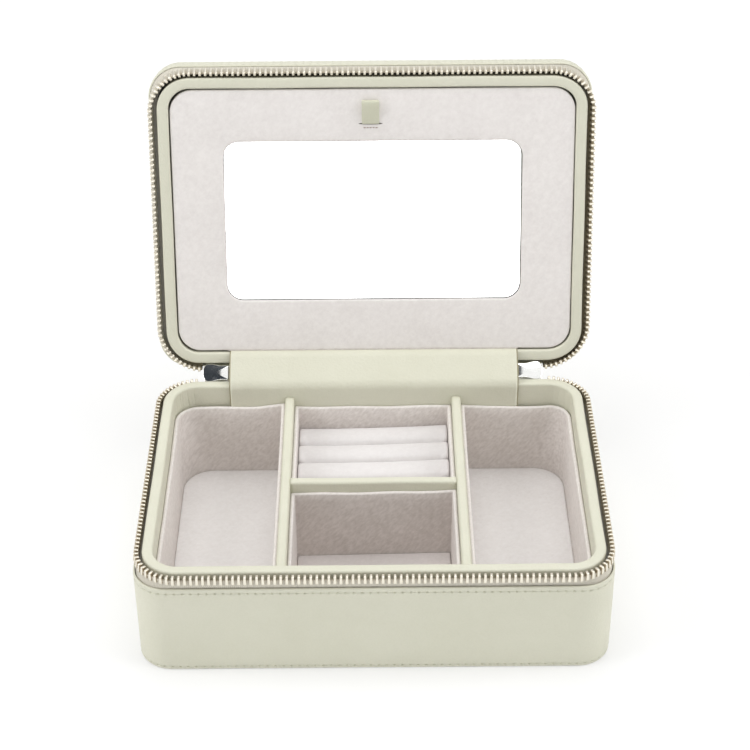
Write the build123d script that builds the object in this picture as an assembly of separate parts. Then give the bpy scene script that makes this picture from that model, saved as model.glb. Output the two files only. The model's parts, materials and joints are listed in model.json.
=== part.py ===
from build123d import *
from math import cos, floor, radians, sin
import os

# Travel jewellery case with a zip round it, lid held open. X runs along the case, Y to the
# hinge at the back and Z up; the origin is under the middle of the base. Sizes are in mm.

# Outline of the case in plan and its heights
case_width = 200.0
case_depth = 142.0
corner_radius = 19.0
parting_height = 51.2
lid_depth = 17.0
lid_open_angle = 106.8
hinge_setback = 1.6

# Leather shell, boards and the small gaps between glued layers
leather = 1.4
zip_band = 6.2
sole = 1.2
sole_drop = 0.4
edge_ease = 0.6
floor_board = 1.4
wall_board = 1.45
lid_board = 1.6
fit_gap = 0.05

# Collars: the leather-covered inner frames that meet at the parting plane
collar_thickness = 4.6
collar_round = 1.3
collar_parting_gap = 0.15

# Zip
tape = 0.6
tape_width = 13.0
tape_flare = 1.7
tooth_pitch = 2.45
tooth_width = 1.1
tooth_thickness = 2.1
tooth_length = 4.2
tooth_overlap = 0.5
tooth_inset = 0.6
crimp_length = 2.5
crimp_clearance = 0.05

# Zip sliders, parked beside the hinge, and their pulls
slider_from_side = 20.5
slider_length = 12.2
slider_height = 9.0
slider_narrow_height = 7.0
slider_plate = 0.9
slider_channel = 2.6
slider_shoulder = 3.0
slider_nose = 1.6
slider_flange = 0.7
slider_slot = 1.0
slider_post = 1.2
slider_run_gap = 0.4
bar_radius = 0.7
bar_clearance = 0.1
bar_end = 1.6
pull_wall = 0.8
pull_eye_length = 4.0
pull_length = 23.0
pull_width = 7.0
pull_thickness = 1.3
stop_length = 2.2
stop_height = 5.4
stop_tail = 0.8
tape_end_height = 10.4

# Tray dividers, liners and pads
divider_thickness = 4.2
divider_drop = 6.85
divider_round = 1.9
side_divider_x = 38.7
cross_divider_y = 1.3
liner_wall = 1.8
liner_floor = 0.8
liner_drop = 11.6
pad_thickness = 1.0
pad_border = 0.4
roll_count = 4
roll_gap = 0.3
roll_height = 29.7
roll_arc_rise = 6.0
roll_end_draw = 0.9
roll_end_length = 5.0

# Leather hinge pieces
flap_lap = 0.5
flap = 1.2
flap_drop = 36.0
flap_tuck = 8.0
flap_lift = 0.55
flap_bend = 2.4
spine_end_gap = 0.3
spine_leg = 15.0
spine_bend = 0.2

# Mirror panel in the lid
panel_recess = 1.1
panel_thickness = 3.6
panel_gap = 0.5
panel_relief_gap = 0.15
panel_relief_end = 0.6
panel_lip = 0.8
mirror_width = 135.5
mirror_height = 74.4
mirror_corner = 7.5
mirror_lap = 3.0
mirror_fit = 0.2
mirror_glass = 1.8
hinge_tape = 0.35
hinge_tape_width = 7.0
lid_lining = 0.8
tab_width = 9.2
tab_length = 11.7
tab_thickness = 1.5
tab_lift = 0.1
tab_from_edge = 11.3
tab_corner = 0.6

# Places that follow from the sizes above
tape_inset = leather + fit_gap
board_inset = tape_inset + tape + fit_gap
collar_inset = board_inset + wall_board + fit_gap
collar_inner = collar_inset + collar_thickness
floor_top = sole + floor_board
lid_top = parting_height + lid_depth
lid_board_low = lid_top - sole - lid_board
inner_x = case_width / 2 - collar_inner
inner_y = case_depth / 2 - collar_inner
inner_corner = corner_radius - collar_inner
hinge_y = case_depth / 2 + hinge_setback
hinge_axis = Axis((0, hinge_y, parting_height), (1, 0, 0))
slider_outer_x = case_width / 2 - slider_from_side
slider_inner_x = slider_outer_x - slider_length
flap_width = 2 * (slider_inner_x + flap_lap)
spine_width = 2 * (slider_inner_x - stop_length - stop_tail - spine_end_gap)
divider_top = parting_height - divider_drop
liner_top = parting_height - liner_drop
flap_face_y = inner_y - fit_gap - flap
tray_back_y = flap_face_y - fit_gap
tray_front_y = -inner_y + fit_gap
panel_front = parting_height + panel_recess
panel_back = panel_front + panel_thickness


def plan(inset):
    """Rounded rectangle of the case outline, drawn in by inset."""
    return RectangleRounded(case_width - 2 * inset, case_depth - 2 * inset, corner_radius - inset)


def plate(inset, low, high):
    """Slab over the whole outline, drawn in by inset."""
    return Pos(0, 0, low) * extrude(plan(inset), high - low)


def band(inset, thickness, low, high):
    """Upright wall round the outline, its outer face drawn in by inset."""
    return Pos(0, 0, low) * extrude(plan(inset) - plan(inset + thickness), high - low)


def outline_path(inset, gap):
    """Case outline in plan, drawn in by inset, from the left of a gap at the back round to its right."""
    x = case_width / 2 - inset
    y = case_depth / 2 - inset
    radius = corner_radius - inset
    side_x = x - radius
    side_y = y - radius
    lines = [
        Line((-gap / 2, y), (-side_x, y)),
        Line((-x, side_y), (-x, -side_y)),
        Line((-side_x, -y), (side_x, -y)),
        Line((x, -side_y), (x, side_y)),
        Line((side_x, y), (gap / 2, y)),
    ]
    bends = [(-side_x, side_y, 90), (-side_x, -side_y, 180), (side_x, -side_y, 270), (side_x, side_y, 0)]
    return Wire(lines + [CenterArc((bend_x, bend_y), radius, start, 90) for bend_x, bend_y, start in bends])


def carried_round(section, path):
    """Wall whose upright section, as (inset, height) points, is carried along a path round the case."""
    start = path @ 0
    points = [(start.X, case_depth / 2 - inset, height) for inset, height in section]
    return sweep(make_face(Polyline(*points, close=True)), path=path)


def open_lid(shape):
    """Swings a lid piece from the closed position to the open one."""
    return shape.rotate(hinge_axis, -lid_open_angle)


def opened(y, z):
    """Where a point of the closed lid lies, in side view, once the lid is open."""
    turn = radians(-lid_open_angle)
    dy = y - hinge_y
    dz = z - parting_height
    return (hinge_y + dy * cos(turn) - dz * sin(turn), parting_height + dy * sin(turn) + dz * cos(turn))


def upright_box(x_low, x_high, y_low, y_high, z_low, z_high):
    """Block between two corners."""
    centre = Pos((x_low + x_high) / 2, (y_low + y_high) / 2, (z_low + z_high) / 2)
    return centre * Box(x_high - x_low, y_high - y_low, z_high - z_low)


def bent_strip(points, radii, width, thickness):
    """Strip of leather whose side view follows a line of (y, z) points with rounded bends."""
    path = FilletPolyline(*[(0, y, z) for y, z in points], radius=radii)
    start = Plane(origin=path @ 0, x_dir=(1, 0, 0), z_dir=path % 0)
    return sweep(start * Rectangle(width, thickness), path=path)


# Base: leather wrap, sole, boards and collar

whole_outline = outline_path(0, 0)


def wrap(low, high):
    """Leather round the walls, its two outer edges eased where the leather is turned in."""
    section = [
        (leather, low),
        (edge_ease, low),
        (0, low + edge_ease),
        (0, high - edge_ease),
        (edge_ease, high),
        (leather, high),
    ]
    return carried_round(section, whole_outline)


def collar(foot, rim, up):
    """Leather-covered frame with a rounded rim. up is 1 for the base, whose rim is above its foot."""
    shoulder = collar_round * (1 - cos(radians(45)))
    section = [
        (collar_inset, foot),
        (collar_inset, rim - up * collar_round),
        (collar_inset + shoulder, rim - up * shoulder),
        (collar_inset + collar_round, rim),
        (collar_inner - collar_round, rim),
        (collar_inner - shoulder, rim - up * shoulder),
        (collar_inner, rim - up * collar_round),
        (collar_inner, foot),
    ]
    return carried_round(section, whole_outline)


parts = {}
parts["base_wrap"] = wrap(sole_drop, parting_height - zip_band)
parts["base_sole"] = plate(tape_inset, 0, sole)
parts["base_floor_board"] = plate(board_inset, sole, floor_top)
parts["base_wall_board"] = band(board_inset, wall_board, floor_top, parting_height - zip_band - fit_gap)
parts["base_collar"] = collar(floor_top, parting_height - collar_parting_gap, 1)


# Zip: tape and teeth run round the front and sides and stop beside the sliders at the back

zip_end_x = slider_outer_x + slider_run_gap
notch_depth = tooth_length - tooth_overlap - crimp_length


def zip_tape(path, side):
    """Woven tape: upright behind the leather, then flared out to the teeth. side is -1 for the base."""
    behind = tape_inset
    centre = tooth_inset
    flare_low = zip_band - fit_gap
    flare_high = flare_low - tape_flare
    top = notch_depth + (tape / 2 + crimp_clearance) * crimp_length / (tooth_thickness / 2)
    section = [
        (behind, zip_band + tape_width - flare_high),
        (behind, flare_low),
        (centre - tape / 2, flare_high),
        (centre - tape / 2, top),
        (centre + tape / 2, top),
        (centre + tape / 2, flare_high),
        (behind + tape, flare_low),
        (behind + tape, zip_band + tape_width - flare_high),
    ]
    return carried_round([(inset, parting_height + side * rise) for inset, rise in section], path)


def zip_teeth(path, side):
    """Metal teeth whose jaws straddle the tape's edge, half a pitch apart on base and lid to interleave."""
    low = side * (tooth_length - tooth_overlap)
    high = -side * tooth_overlap
    half = tooth_thickness / 2
    outline = [(-half, low), (-half, high), (half, high), (half, low), (0, side * notch_depth)]
    profile = make_face(Polyline(*[(0, y, z) for y, z in outline], close=True))
    tooth = extrude(profile, tooth_width / 2, dir=(1, 0, 0), both=True)
    shift = 0.5 if side < 0 else 0.0
    steps = floor((path.length / 2 - tooth_width / 2) / tooth_pitch - shift)
    stations = [(i + shift) * tooth_pitch for i in range(steps + 1)]
    stations = sorted({s for s in stations} | {-s for s in stations})
    teeth = []
    for station in stations:
        share = 0.5 + station / path.length
        spot = path @ share
        place = Plane(origin=(spot.X, spot.Y, parting_height), x_dir=path % share, z_dir=(0, 0, 1))
        teeth.append(place.location * tooth)
    return Compound(children=teeth)


path = outline_path(tooth_inset, 2 * zip_end_x)
parts["base_zip_tape"] = zip_tape(path, -1)
parts["base_zip_teeth"] = zip_teeth(path, -1)
parts["lid_zip_tape"] = open_lid(zip_tape(path, 1))
parts["lid_zip_teeth"] = open_lid(zip_teeth(path, 1))


# Zip sliders: two plates joined by a post, flanges that hold the chain in, and a bar for the pull.
# Each is drawn upright on the hinge axis, x running out to its wide mouth and y away from the case.

bar_y = slider_channel / 2 + slider_plate + bar_radius + bar_clearance + pull_wall + fit_gap
half_channel = slider_channel / 2
plate_outer = half_channel + slider_plate


def slider_outline():
    """Slider plate: narrow where the joined zip leaves, wide at the mouth, with a blunt nose."""
    wide = slider_height / 2
    narrow = slider_narrow_height / 2
    mouth = slider_length - slider_nose
    waist = [(0, narrow), (mouth - 2 * slider_shoulder, narrow)]
    shoulder = [(mouth - slider_shoulder, wide), (mouth, wide)]
    nose = [(slider_length, narrow - slider_nose)]
    half = waist + shoulder + nose
    lower = [(x, -z) for x, z in reversed(half)]
    return Plane.XZ * make_face(Polyline(*half, *lower, close=True))


def slider_body():
    outline = slider_outline()
    inner = extrude(Pos(0, -half_channel, 0) * outline, slider_plate, dir=(0, -1, 0))
    outer = extrude(Pos(0, half_channel, 0) * outline, slider_plate, dir=(0, 1, 0))
    wide = slider_height / 2
    mouth = slider_length - slider_nose
    post = upright_box(
        mouth - slider_post,
        mouth + slider_nose / 2,
        -half_channel,
        half_channel,
        -slider_post,
        slider_post,
    )
    body = inner + outer + post
    for up in (-1, 1):
        edge = sorted((up * wide, up * (wide - slider_flange)))
        for out in (-1, 1):
            reach = sorted((out * slider_slot / 2, out * half_channel))
            body += upright_box(mouth - slider_shoulder, mouth, reach[0], reach[1], edge[0], edge[1])
    bar_x = slider_length / 2
    bar_half = pull_eye_length / 2 + bar_end
    body += Pos(bar_x, bar_y, 0) * Rot(0, 90, 0) * Cylinder(bar_radius, 2 * bar_half)
    for end in (-1, 1):
        x = sorted((bar_x + end * (bar_half - bar_end / 2), bar_x + end * (bar_half + bar_end / 2)))
        body += upright_box(x[0], x[1], plate_outer, bar_y + bar_radius, -bar_radius, bar_radius)
    return body


def pull():
    """Flat pull hanging from an eye that turns on the slider's bar, drawn about the bar's axis."""
    eye_outer = bar_radius + bar_clearance + pull_wall
    eye = Rot(0, 90, 0) * Cylinder(eye_outer, pull_eye_length)
    neck = pull_eye_length / 2
    half = pull_width / 2
    end = -pull_length
    tab = make_face(
        Polyline((-neck, 0), (-half, end / 2), (-half, end + half))
        + ThreePointArc((-half, end + half), (0, end), (half, end + half))
        + Polyline((half, end + half), (half, end / 2), (neck, 0), (-neck, 0))
    )
    blade = extrude(Plane.XZ * tab, pull_thickness / 2, both=True)
    bore = Rot(0, 90, 0) * Cylinder(bar_radius + bar_clearance, 2 * pull_width)
    return eye + blade - bore


def zip_end():
    """Joined ends of both tapes with the last teeth, held in the slider, and the stop behind them."""
    run = slider_length - slider_nose - slider_post - slider_run_gap
    half_tooth = tooth_thickness / 2
    chain = upright_box(0, run, -half_tooth, half_tooth, -stop_height / 2, stop_height / 2)
    stop = upright_box(-stop_length, 0, -half_channel, half_channel, -stop_height / 2, stop_height / 2)
    tail = -stop_length - stop_tail
    tapes = upright_box(tail, 0, -tape / 2, tape / 2, -tape_end_height / 2, tape_end_height / 2)
    return stop + chain + tapes


def park(shape, end):
    """Stands a slider piece beside the hinge, end -1 left and 1 right, tilted by half the lid's swing."""
    placed = Pos(slider_inner_x, hinge_y, parting_height) * shape
    tilted = placed.rotate(hinge_axis, -lid_open_angle / 2)
    return tilted if end > 0 else mirror(tilted, about=Plane.YZ)


def hanging_pull(end):
    """The pull hangs straight down from the tilted slider's bar."""
    tilt = radians(-lid_open_angle / 2)
    x = slider_inner_x + slider_length / 2
    hung = Pos(x, hinge_y + bar_y * cos(tilt), parting_height + bar_y * sin(tilt)) * pull()
    return hung if end > 0 else mirror(hung, about=Plane.YZ)


for end, name in ((-1, "left"), (1, "right")):
    parts[f"slider_{name}"] = park(slider_body(), end)
    parts[f"zip_end_{name}"] = park(zip_end(), end)
    parts[f"pull_{name}"] = hanging_pull(end)


# Tray: leather-covered dividers, then suede liners, floor pads and ring rolls

side_inner_x = side_divider_x - divider_thickness / 2
side_outer_x = side_divider_x + divider_thickness / 2
cross_front_y = cross_divider_y - divider_thickness / 2
cross_back_y = cross_divider_y + divider_thickness / 2


def divider(x_low, x_high, y_low, y_high, along):
    """Upright board with a rounded top, its long edges lying along the given axis."""
    board = upright_box(x_low, x_high, y_low, y_high, floor_top, divider_top)
    top_edges = board.edges().group_by(Axis.Z)[-1]
    return fillet(top_edges.filter_by(along), divider_round)


parts["divider_left"] = divider(-side_outer_x, -side_inner_x, tray_front_y, tray_back_y, Axis.Y)
parts["divider_right"] = divider(side_inner_x, side_outer_x, tray_front_y, tray_back_y, Axis.Y)
cross_reach = side_inner_x - fit_gap
parts["divider_cross"] = divider(-cross_reach, cross_reach, cross_front_y, cross_back_y, Axis.X)


def liner_plan(x_low, x_high, y_low, y_high, round_side):
    """Outline of a liner. round_side gives the side, -1 or 1 in x, whose corners follow the collar."""
    outline = Pos((x_low + x_high) / 2, (y_low + y_high) / 2) * Rectangle(x_high - x_low, y_high - y_low)
    if round_side == 0:
        return outline
    by_x = outline.vertices().sort_by(Axis.X)
    return fillet(by_x[:2] if round_side < 0 else by_x[2:], inner_corner)


def liner(outline):
    """Open suede-covered box: a floor and upright walls of one thickness."""
    inside = offset(outline, -liner_wall, kind=Kind.INTERSECTION)
    box = Pos(0, 0, floor_top) * extrude(outline, liner_top - floor_top)
    hollow = Pos(0, 0, floor_top + liner_floor) * extrude(inside, liner_top - floor_top)
    return box - hollow


def floor_pad(outline):
    """Loose suede pad that lies on a liner's floor, a little way in from its walls."""
    pad = offset(outline, -liner_wall - pad_border, kind=Kind.INTERSECTION)
    return Pos(0, 0, floor_top + liner_floor) * extrude(pad, pad_thickness)


side_low = side_outer_x + fit_gap
side_high = inner_x - fit_gap
middle = side_inner_x - fit_gap
liner_plans = {
    "left": liner_plan(-side_high, -side_low, tray_front_y, tray_back_y, -1),
    "right": liner_plan(side_low, side_high, tray_front_y, tray_back_y, 1),
    "front": liner_plan(-middle, middle, tray_front_y, cross_front_y - fit_gap, 0),
    "ring": liner_plan(-middle, middle, cross_back_y + fit_gap, tray_back_y, 0),
}
for name, outline in liner_plans.items():
    parts[f"liner_{name}"] = liner(outline)
    if name != "ring":
        parts[f"floor_pad_{name}"] = floor_pad(outline)


def roll_section(x, y, width, height):
    """Upright end view of a roll: flat foot and sides under a rounded crown."""
    half = width / 2
    low = floor_top + liner_floor
    shoulder = low + height - roll_arc_rise
    crown = ThreePointArc((x, y - half, shoulder), (x, y, low + height), (x, y + half, shoulder))
    corners = [(x, y + half, shoulder), (x, y + half, low), (x, y - half, low), (x, y - half, shoulder)]
    return make_face(crown + Polyline(*corners))


def ring_roll(number):
    """Foam roll in suede, its ends drawn in a little where the cover is tucked under."""
    depth = (tray_back_y - cross_back_y - fit_gap - 2 * liner_wall) / roll_count
    y = tray_back_y - liner_wall - (number - 0.5) * depth
    width = depth - roll_gap
    reach = middle - liner_wall - roll_gap
    inner = reach - roll_end_length
    drawn = (width - roll_end_draw, roll_height - roll_end_draw)
    full = (width, roll_height)
    stations = [(-reach, *drawn), (-inner, *full), (inner, *full), (reach, *drawn)]
    return loft([roll_section(x, y, w, h) for x, w, h in stations], ruled=True)


for number in range(1, roll_count + 1):
    parts[f"ring_roll_{number}"] = ring_roll(number)


# Leather hinge: the flap over the gap inside, and the spine outside

def hinge_flap():
    """Flap from the tray's back wall, over the base collar and tucked in behind the lid collar."""
    y = inner_y - fit_gap - flap / 2
    fold_z = parting_height + flap_lift
    points = [
        (y, fold_z - flap_drop),
        (y, fold_z),
        opened(y, parting_height - flap_lift),
        opened(y, parting_height + flap_tuck),
    ]
    return bent_strip(points, flap_bend, flap_width, flap)


def hinge_spine():
    """Spine glued to both back walls, folded at the hinge axis."""
    back = case_depth / 2 + fit_gap + leather / 2
    fold = (hinge_y - back) / cos(radians(lid_open_angle / 2)) * sin(radians(lid_open_angle / 2))
    points = [
        (back, parting_height - spine_leg),
        (back, parting_height + fold),
        opened(back, parting_height + spine_leg),
    ]
    return bent_strip(points, leather / 2 + spine_bend, spine_width, leather)


parts["hinge_flap"] = hinge_flap()
parts["hinge_spine"] = hinge_spine()


# Lid: leather wrap, top, boards, collar and lining

parts["lid_wrap"] = open_lid(wrap(parting_height + zip_band, lid_top - sole_drop))
parts["lid_top_panel"] = open_lid(plate(tape_inset, lid_top - sole, lid_top))
parts["lid_board"] = open_lid(plate(board_inset, lid_board_low, lid_top - sole))
lid_wall_low = parting_height + zip_band + fit_gap
parts["lid_wall_board"] = open_lid(band(board_inset, wall_board, lid_wall_low, lid_board_low))
parts["lid_collar"] = open_lid(collar(lid_board_low, parting_height + collar_parting_gap, -1))
parts["lid_lining"] = open_lid(plate(collar_inner + fit_gap, lid_board_low - lid_lining, lid_board_low))


# Mirror panel: a suede-covered board that swings down on a tape at its lower edge

relief_depth = flap + fit_gap + hinge_tape + fit_gap + panel_relief_gap
relief_y = inner_y - relief_depth


def mirror_panel():
    """Board with a window, a rebate for the mirror and an edge relieved where the flap is tucked in."""
    board = plan(collar_inner + panel_gap)
    relief_width = flap_width + 2 * panel_relief_end
    relief = Pos(0, relief_y + relief_depth) * Rectangle(relief_width, 2 * relief_depth)
    window = RectangleRounded(mirror_width, mirror_height, mirror_corner)
    rebate_width = mirror_width + 2 * mirror_lap + 2 * mirror_fit
    rebate_height = mirror_height + 2 * mirror_lap + 2 * mirror_fit
    rebate = RectangleRounded(rebate_width, rebate_height, mirror_corner + mirror_lap + mirror_fit)
    body = Pos(0, 0, panel_front) * extrude(board - relief - window, panel_thickness)
    return body - Pos(0, 0, panel_front + panel_lip) * extrude(rebate, panel_thickness)


def mirror_plate(low, thickness):
    """Plate that fills the rebate behind the window."""
    width = mirror_width + 2 * mirror_lap
    height = mirror_height + 2 * mirror_lap
    outline = RectangleRounded(width, height, mirror_corner + mirror_lap)
    return Pos(0, 0, low) * extrude(outline, thickness)


def pull_tab():
    """Leather tab that lies against the panel, its root at the slit and its free end to the front edge."""
    free_y = -inner_y - collar_thickness + tab_from_edge
    root_y = free_y + tab_length
    front = panel_front - tab_lift - tab_thickness
    tab = upright_box(-tab_width / 2, tab_width / 2, free_y, root_y, front, front + tab_thickness)
    free_edges = tab.edges().filter_by(Axis.Z).group_by(Axis.Y)[0]
    return fillet(free_edges, tab_corner)


glass_front = panel_front + panel_lip
backing_front = glass_front + mirror_glass + fit_gap
tape_high_y = relief_y + panel_relief_gap + hinge_tape
parts["mirror_panel"] = open_lid(mirror_panel())
parts["mirror"] = open_lid(mirror_plate(glass_front, mirror_glass))
parts["mirror_backing"] = open_lid(mirror_plate(backing_front, panel_back - backing_front))
parts["pull_tab"] = open_lid(pull_tab())
hinge_tape_low = panel_front + fit_gap
parts["panel_hinge_tape"] = open_lid(
    upright_box(
        -flap_width / 2,
        flap_width / 2,
        tape_high_y - hinge_tape,
        tape_high_y,
        hinge_tape_low,
        hinge_tape_low + hinge_tape_width,
    )
)

os.makedirs("parts", exist_ok=True)
for name, shape in parts.items():
    export_step(shape, f"parts/{name}.step")
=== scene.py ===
import json
from math import cos, pi, radians, sin
import bpy
import numpy as np
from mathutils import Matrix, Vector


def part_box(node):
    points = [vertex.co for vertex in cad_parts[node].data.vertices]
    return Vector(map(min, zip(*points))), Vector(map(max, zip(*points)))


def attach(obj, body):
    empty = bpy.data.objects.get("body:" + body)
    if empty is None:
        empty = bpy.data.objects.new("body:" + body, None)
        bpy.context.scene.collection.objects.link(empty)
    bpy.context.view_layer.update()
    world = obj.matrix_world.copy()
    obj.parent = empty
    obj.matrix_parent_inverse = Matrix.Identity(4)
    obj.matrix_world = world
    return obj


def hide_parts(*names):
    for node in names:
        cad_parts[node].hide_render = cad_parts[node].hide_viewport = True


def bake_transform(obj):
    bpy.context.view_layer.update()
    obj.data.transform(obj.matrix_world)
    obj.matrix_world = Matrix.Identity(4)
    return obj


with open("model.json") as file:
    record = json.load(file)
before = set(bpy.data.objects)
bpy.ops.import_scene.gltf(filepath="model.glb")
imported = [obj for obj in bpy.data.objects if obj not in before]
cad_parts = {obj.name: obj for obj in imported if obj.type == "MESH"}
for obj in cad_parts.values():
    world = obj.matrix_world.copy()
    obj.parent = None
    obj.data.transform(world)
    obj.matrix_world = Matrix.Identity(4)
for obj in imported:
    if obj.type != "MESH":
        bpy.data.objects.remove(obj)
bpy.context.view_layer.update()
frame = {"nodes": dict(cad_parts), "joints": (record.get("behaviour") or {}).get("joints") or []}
nodes = frame["nodes"]

# Leather wrap of the base
# One strip of pale sage calf leather glued round the board walls, its two long edges turned in. A row of
# lock stitches runs just below the zip and another just above the sole, with the thread drawn into the hide.
mm = 0.001
wrap_low, wrap_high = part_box("base_wrap")
half_width = wrap_high.x / mm
half_depth = wrap_high.y / mm
base_edge = wrap_high.z / mm - 0.25
base_foot = wrap_low.z / mm - 0.3
corner_radius = 19.0
wrap_tight = 4.5
leather = 1.4
skived = 0.75
edge_round = 0.6
foot_round = 0.9
stitch_from_edge = 2.4
stitch_from_foot = 1.5
thread_radius = 0.2
stitch_aim = 3.35
stitch_gap = 1.1
stitch_sink = 0.13
stitch_slant = 0.09
hole_depth = 1.0
steps_per_stitch = 10


def outline_length(inset=0.0):
    """Length of the plan outline drawn in by inset: four straight sides and a whole circle of corners."""
    return 4 * (half_width + half_depth - 2 * corner_radius) + 2 * pi * (corner_radius - inset)


def outline(travel, inset=0.0):
    """Points, outward normals and corner ways of the plan, travel mm from the middle of the back round by the
    left side. The plan is an inner rectangle widened by a circle: core point plus (radius - inset) times
    normal. The corner way, core point over the core's half sides minus normal, leads to a plan with tighter
    corners."""
    a = half_width - corner_radius
    b = half_depth - corner_radius
    radius = corner_radius - inset
    bend = pi / 2 * radius
    runs = np.array([a, bend, 2 * b, bend, 2 * a, bend, 2 * b, bend, a])
    starts = np.concatenate([[0.0], np.cumsum(runs)[:-1]])
    cores = np.array([(0, b), (-a, b), (-a, b), (-a, -b), (-a, -b), (a, -b), (a, -b), (a, b), (a, b)])
    leg = np.clip(np.searchsorted(starts, travel, side="right") - 1, 0, 8)
    along = travel - starts[leg]
    heading = pi + (leg // 2) * pi / 2
    in_bend = leg % 2 == 1
    way = np.stack([np.cos(heading), np.sin(heading)], axis=-1)
    core = cores[leg] + np.where(in_bend, 0.0, along)[:, None] * way
    turn = heading - pi / 2 + np.where(in_bend, along / radius, 0.0)
    normal = np.stack([np.cos(turn), np.sin(turn)], axis=-1)
    return core + radius * normal, normal, core / (a, b) - normal


def carry(travel, inset, height, tight=0.0):
    """A section carried round the case: plan point minus inset times the outward normal, at the height, with
    the corners tightened by tight mm. Each holds one value for each section point, or a row of them for each
    station."""
    spot, normal, corner_way = outline(travel)
    shape = (len(travel), np.shape(inset)[-1])
    inset, height, tight = (np.broadcast_to(value, shape)[..., None] for value in (inset, height, tight))
    plan = spot[:, None] - inset * normal[:, None] + tight * corner_way[:, None]
    return np.concatenate([plan, height], axis=-1)


def at_height(plan, height):
    """Points or directions of a plan, one to a row, all given one height."""
    return np.concatenate([plan, np.full((len(plan), 1), height)], axis=1)


def skin(rows, joined=False):
    """Closed surface over rows of points, each row a closed loop. Either the last row joins the first, or a
    fan of triangles to the loop's middle closes each end. Gives points, quads and triangles."""
    count, size = rows.shape[:2]
    points = rows.reshape(-1, 3)
    row, col = np.meshgrid(np.arange(count if joined else count - 1), np.arange(size), indexing="ij")
    below = (row + 1) % count
    beside = (col + 1) % size
    corners = [row * size + col, below * size + col, below * size + beside, row * size + beside]
    quads = np.stack(corners, axis=-1).reshape(-1, 4)
    if joined:
        return points, quads, np.zeros((0, 3), int)
    hubs = rows[[0, -1]].mean(axis=1)
    ring = np.arange(size)
    after = (ring + 1) % size
    last_row = (count - 1) * size
    first = np.stack([np.full(size, len(points)), ring, after], axis=-1)
    last = np.stack([np.full(size, len(points) + 1), last_row + after, last_row + ring], axis=-1)
    return np.concatenate([points, hubs]), quads, np.concatenate([first, last])


def scatter(shape, spots, frames):
    """Copies of one skin: each point's own (along, out, up) lengths times the copy's axes, at its spot."""
    points, quads, tris = shape
    placed = spots[:, None] + np.einsum("pk,ckx->cpx", points, frames)
    shift = np.arange(len(spots))[:, None, None] * len(points)
    return placed.reshape(-1, 3), (quads + shift).reshape(-1, 4), (tris + shift).reshape(-1, 3)


def piece(name, skins, material, body, *stands_for):
    """One smooth object made of skins in mm, each turned outwards by the sign of the volume it encloses."""
    points = []
    faces = []
    first = 0
    for verts, quads, tris in skins:
        halves = np.concatenate([quads[:, :3], quads[:, [0, 2, 3]], tris])
        a, b, c = (verts[halves[:, corner]] for corner in range(3))
        turn = 1 if np.einsum("ij,ij->", a, np.cross(b, c)) > 0 else -1
        faces += (quads[:, ::turn] + first).tolist() + (tris[:, ::turn] + first).tolist()
        points.append(verts)
        first += len(verts)
    mesh = bpy.data.meshes.new(name)
    mesh.from_pydata((np.concatenate(points) * mm).tolist(), [], faces)
    mesh.shade_smooth()
    mesh.materials.append(material)
    obj = bpy.data.objects.new(name, mesh)
    bpy.context.scene.collection.objects.link(obj)
    if body:
        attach(obj, body)
    if stands_for:
        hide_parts(*stands_for)
    return obj


def srgb(red, green, blue):
    """Linear colour of a shade given on the usual scale from 0 to 255."""
    share = np.array([red, green, blue]) / 255
    linear = np.where(share < 0.04045, share / 12.92, ((share + 0.055) / 1.055) ** 2.4)
    return (*linear.tolist(), 1.0)


def node(tree, kind, inputs=None, **settings):
    """New shader node with its settings made, then each input linked to a socket or given a plain value."""
    made = tree.nodes.new(kind)
    for key, value in settings.items():
        setattr(made, key, value)
    for key, value in (inputs or {}).items():
        if isinstance(value, bpy.types.NodeSocket):
            tree.links.new(value, made.inputs[key])
        else:
            made.inputs[key].default_value = value
    return made


def maths(tree, operation, *values):
    """Result of one operation on sockets or plain numbers."""
    return node(tree, "ShaderNodeMath", dict(enumerate(values)), operation=operation).outputs[0]


def noise(tree, where, scale, detail, rough=0.5):
    """Cloudy noise between 0 and 1, scale clouds to the unit of its place."""
    sockets = {"Vector": where, "Scale": scale, "Detail": detail, "Roughness": rough}
    return node(tree, "ShaderNodeTexNoise", sockets).outputs["Fac"]


def marked(tree, name):
    """Number that a piece keeps for each of its points under a name, or 0 where it keeps none."""
    return node(tree, "ShaderNodeAttribute", attribute_name=name).outputs["Fac"]


def blended(tree, share, first, second):
    """Colour that goes from first to second with the share. Each is a socket or a shade from 0 to 255."""
    ends = [end if isinstance(end, bpy.types.NodeSocket) else srgb(*end) for end in (first, second)]
    mix = node(tree, "ShaderNodeMix", {0: share, 6: ends[0], 7: ends[1]}, data_type="RGBA")
    return mix.outputs[2]


def texture_group(name, outputs):
    """Empty shader group with a Vector input and the named value outputs."""
    tree = bpy.data.node_groups.new(name, "ShaderNodeTree")
    tree.interface.new_socket("Vector", in_out="INPUT", socket_type="NodeSocketVector")
    for output in outputs:
        tree.interface.new_socket(output, in_out="OUTPUT", socket_type="NodeSocketFloat")
    return tree, tree.nodes.new("NodeGroupInput").outputs["Vector"], tree.nodes.new("NodeGroupOutput")


def new_finish(name, slot, sockets):
    """New material with plain values on its shader's own sockets. Gives it with its node tree, its shader and
    a point's place on the piece."""
    material = bpy.data.materials.new(name)
    material.use_nodes = True
    material["slot"] = slot
    tree = material.node_tree
    shader = tree.nodes["Principled BSDF"]
    for key, value in sockets.items():
        shader.inputs[key].default_value = value
    return material, tree, shader, node(tree, "ShaderNodeTexCoord").outputs["Object"]


def two_tone(tree, shader, share, dark, light):
    """Base colour that goes from dark to light by a share that changes over the surface."""
    tree.links.new(blended(tree, share, dark, light), shader.inputs["Base Color"])


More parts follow.
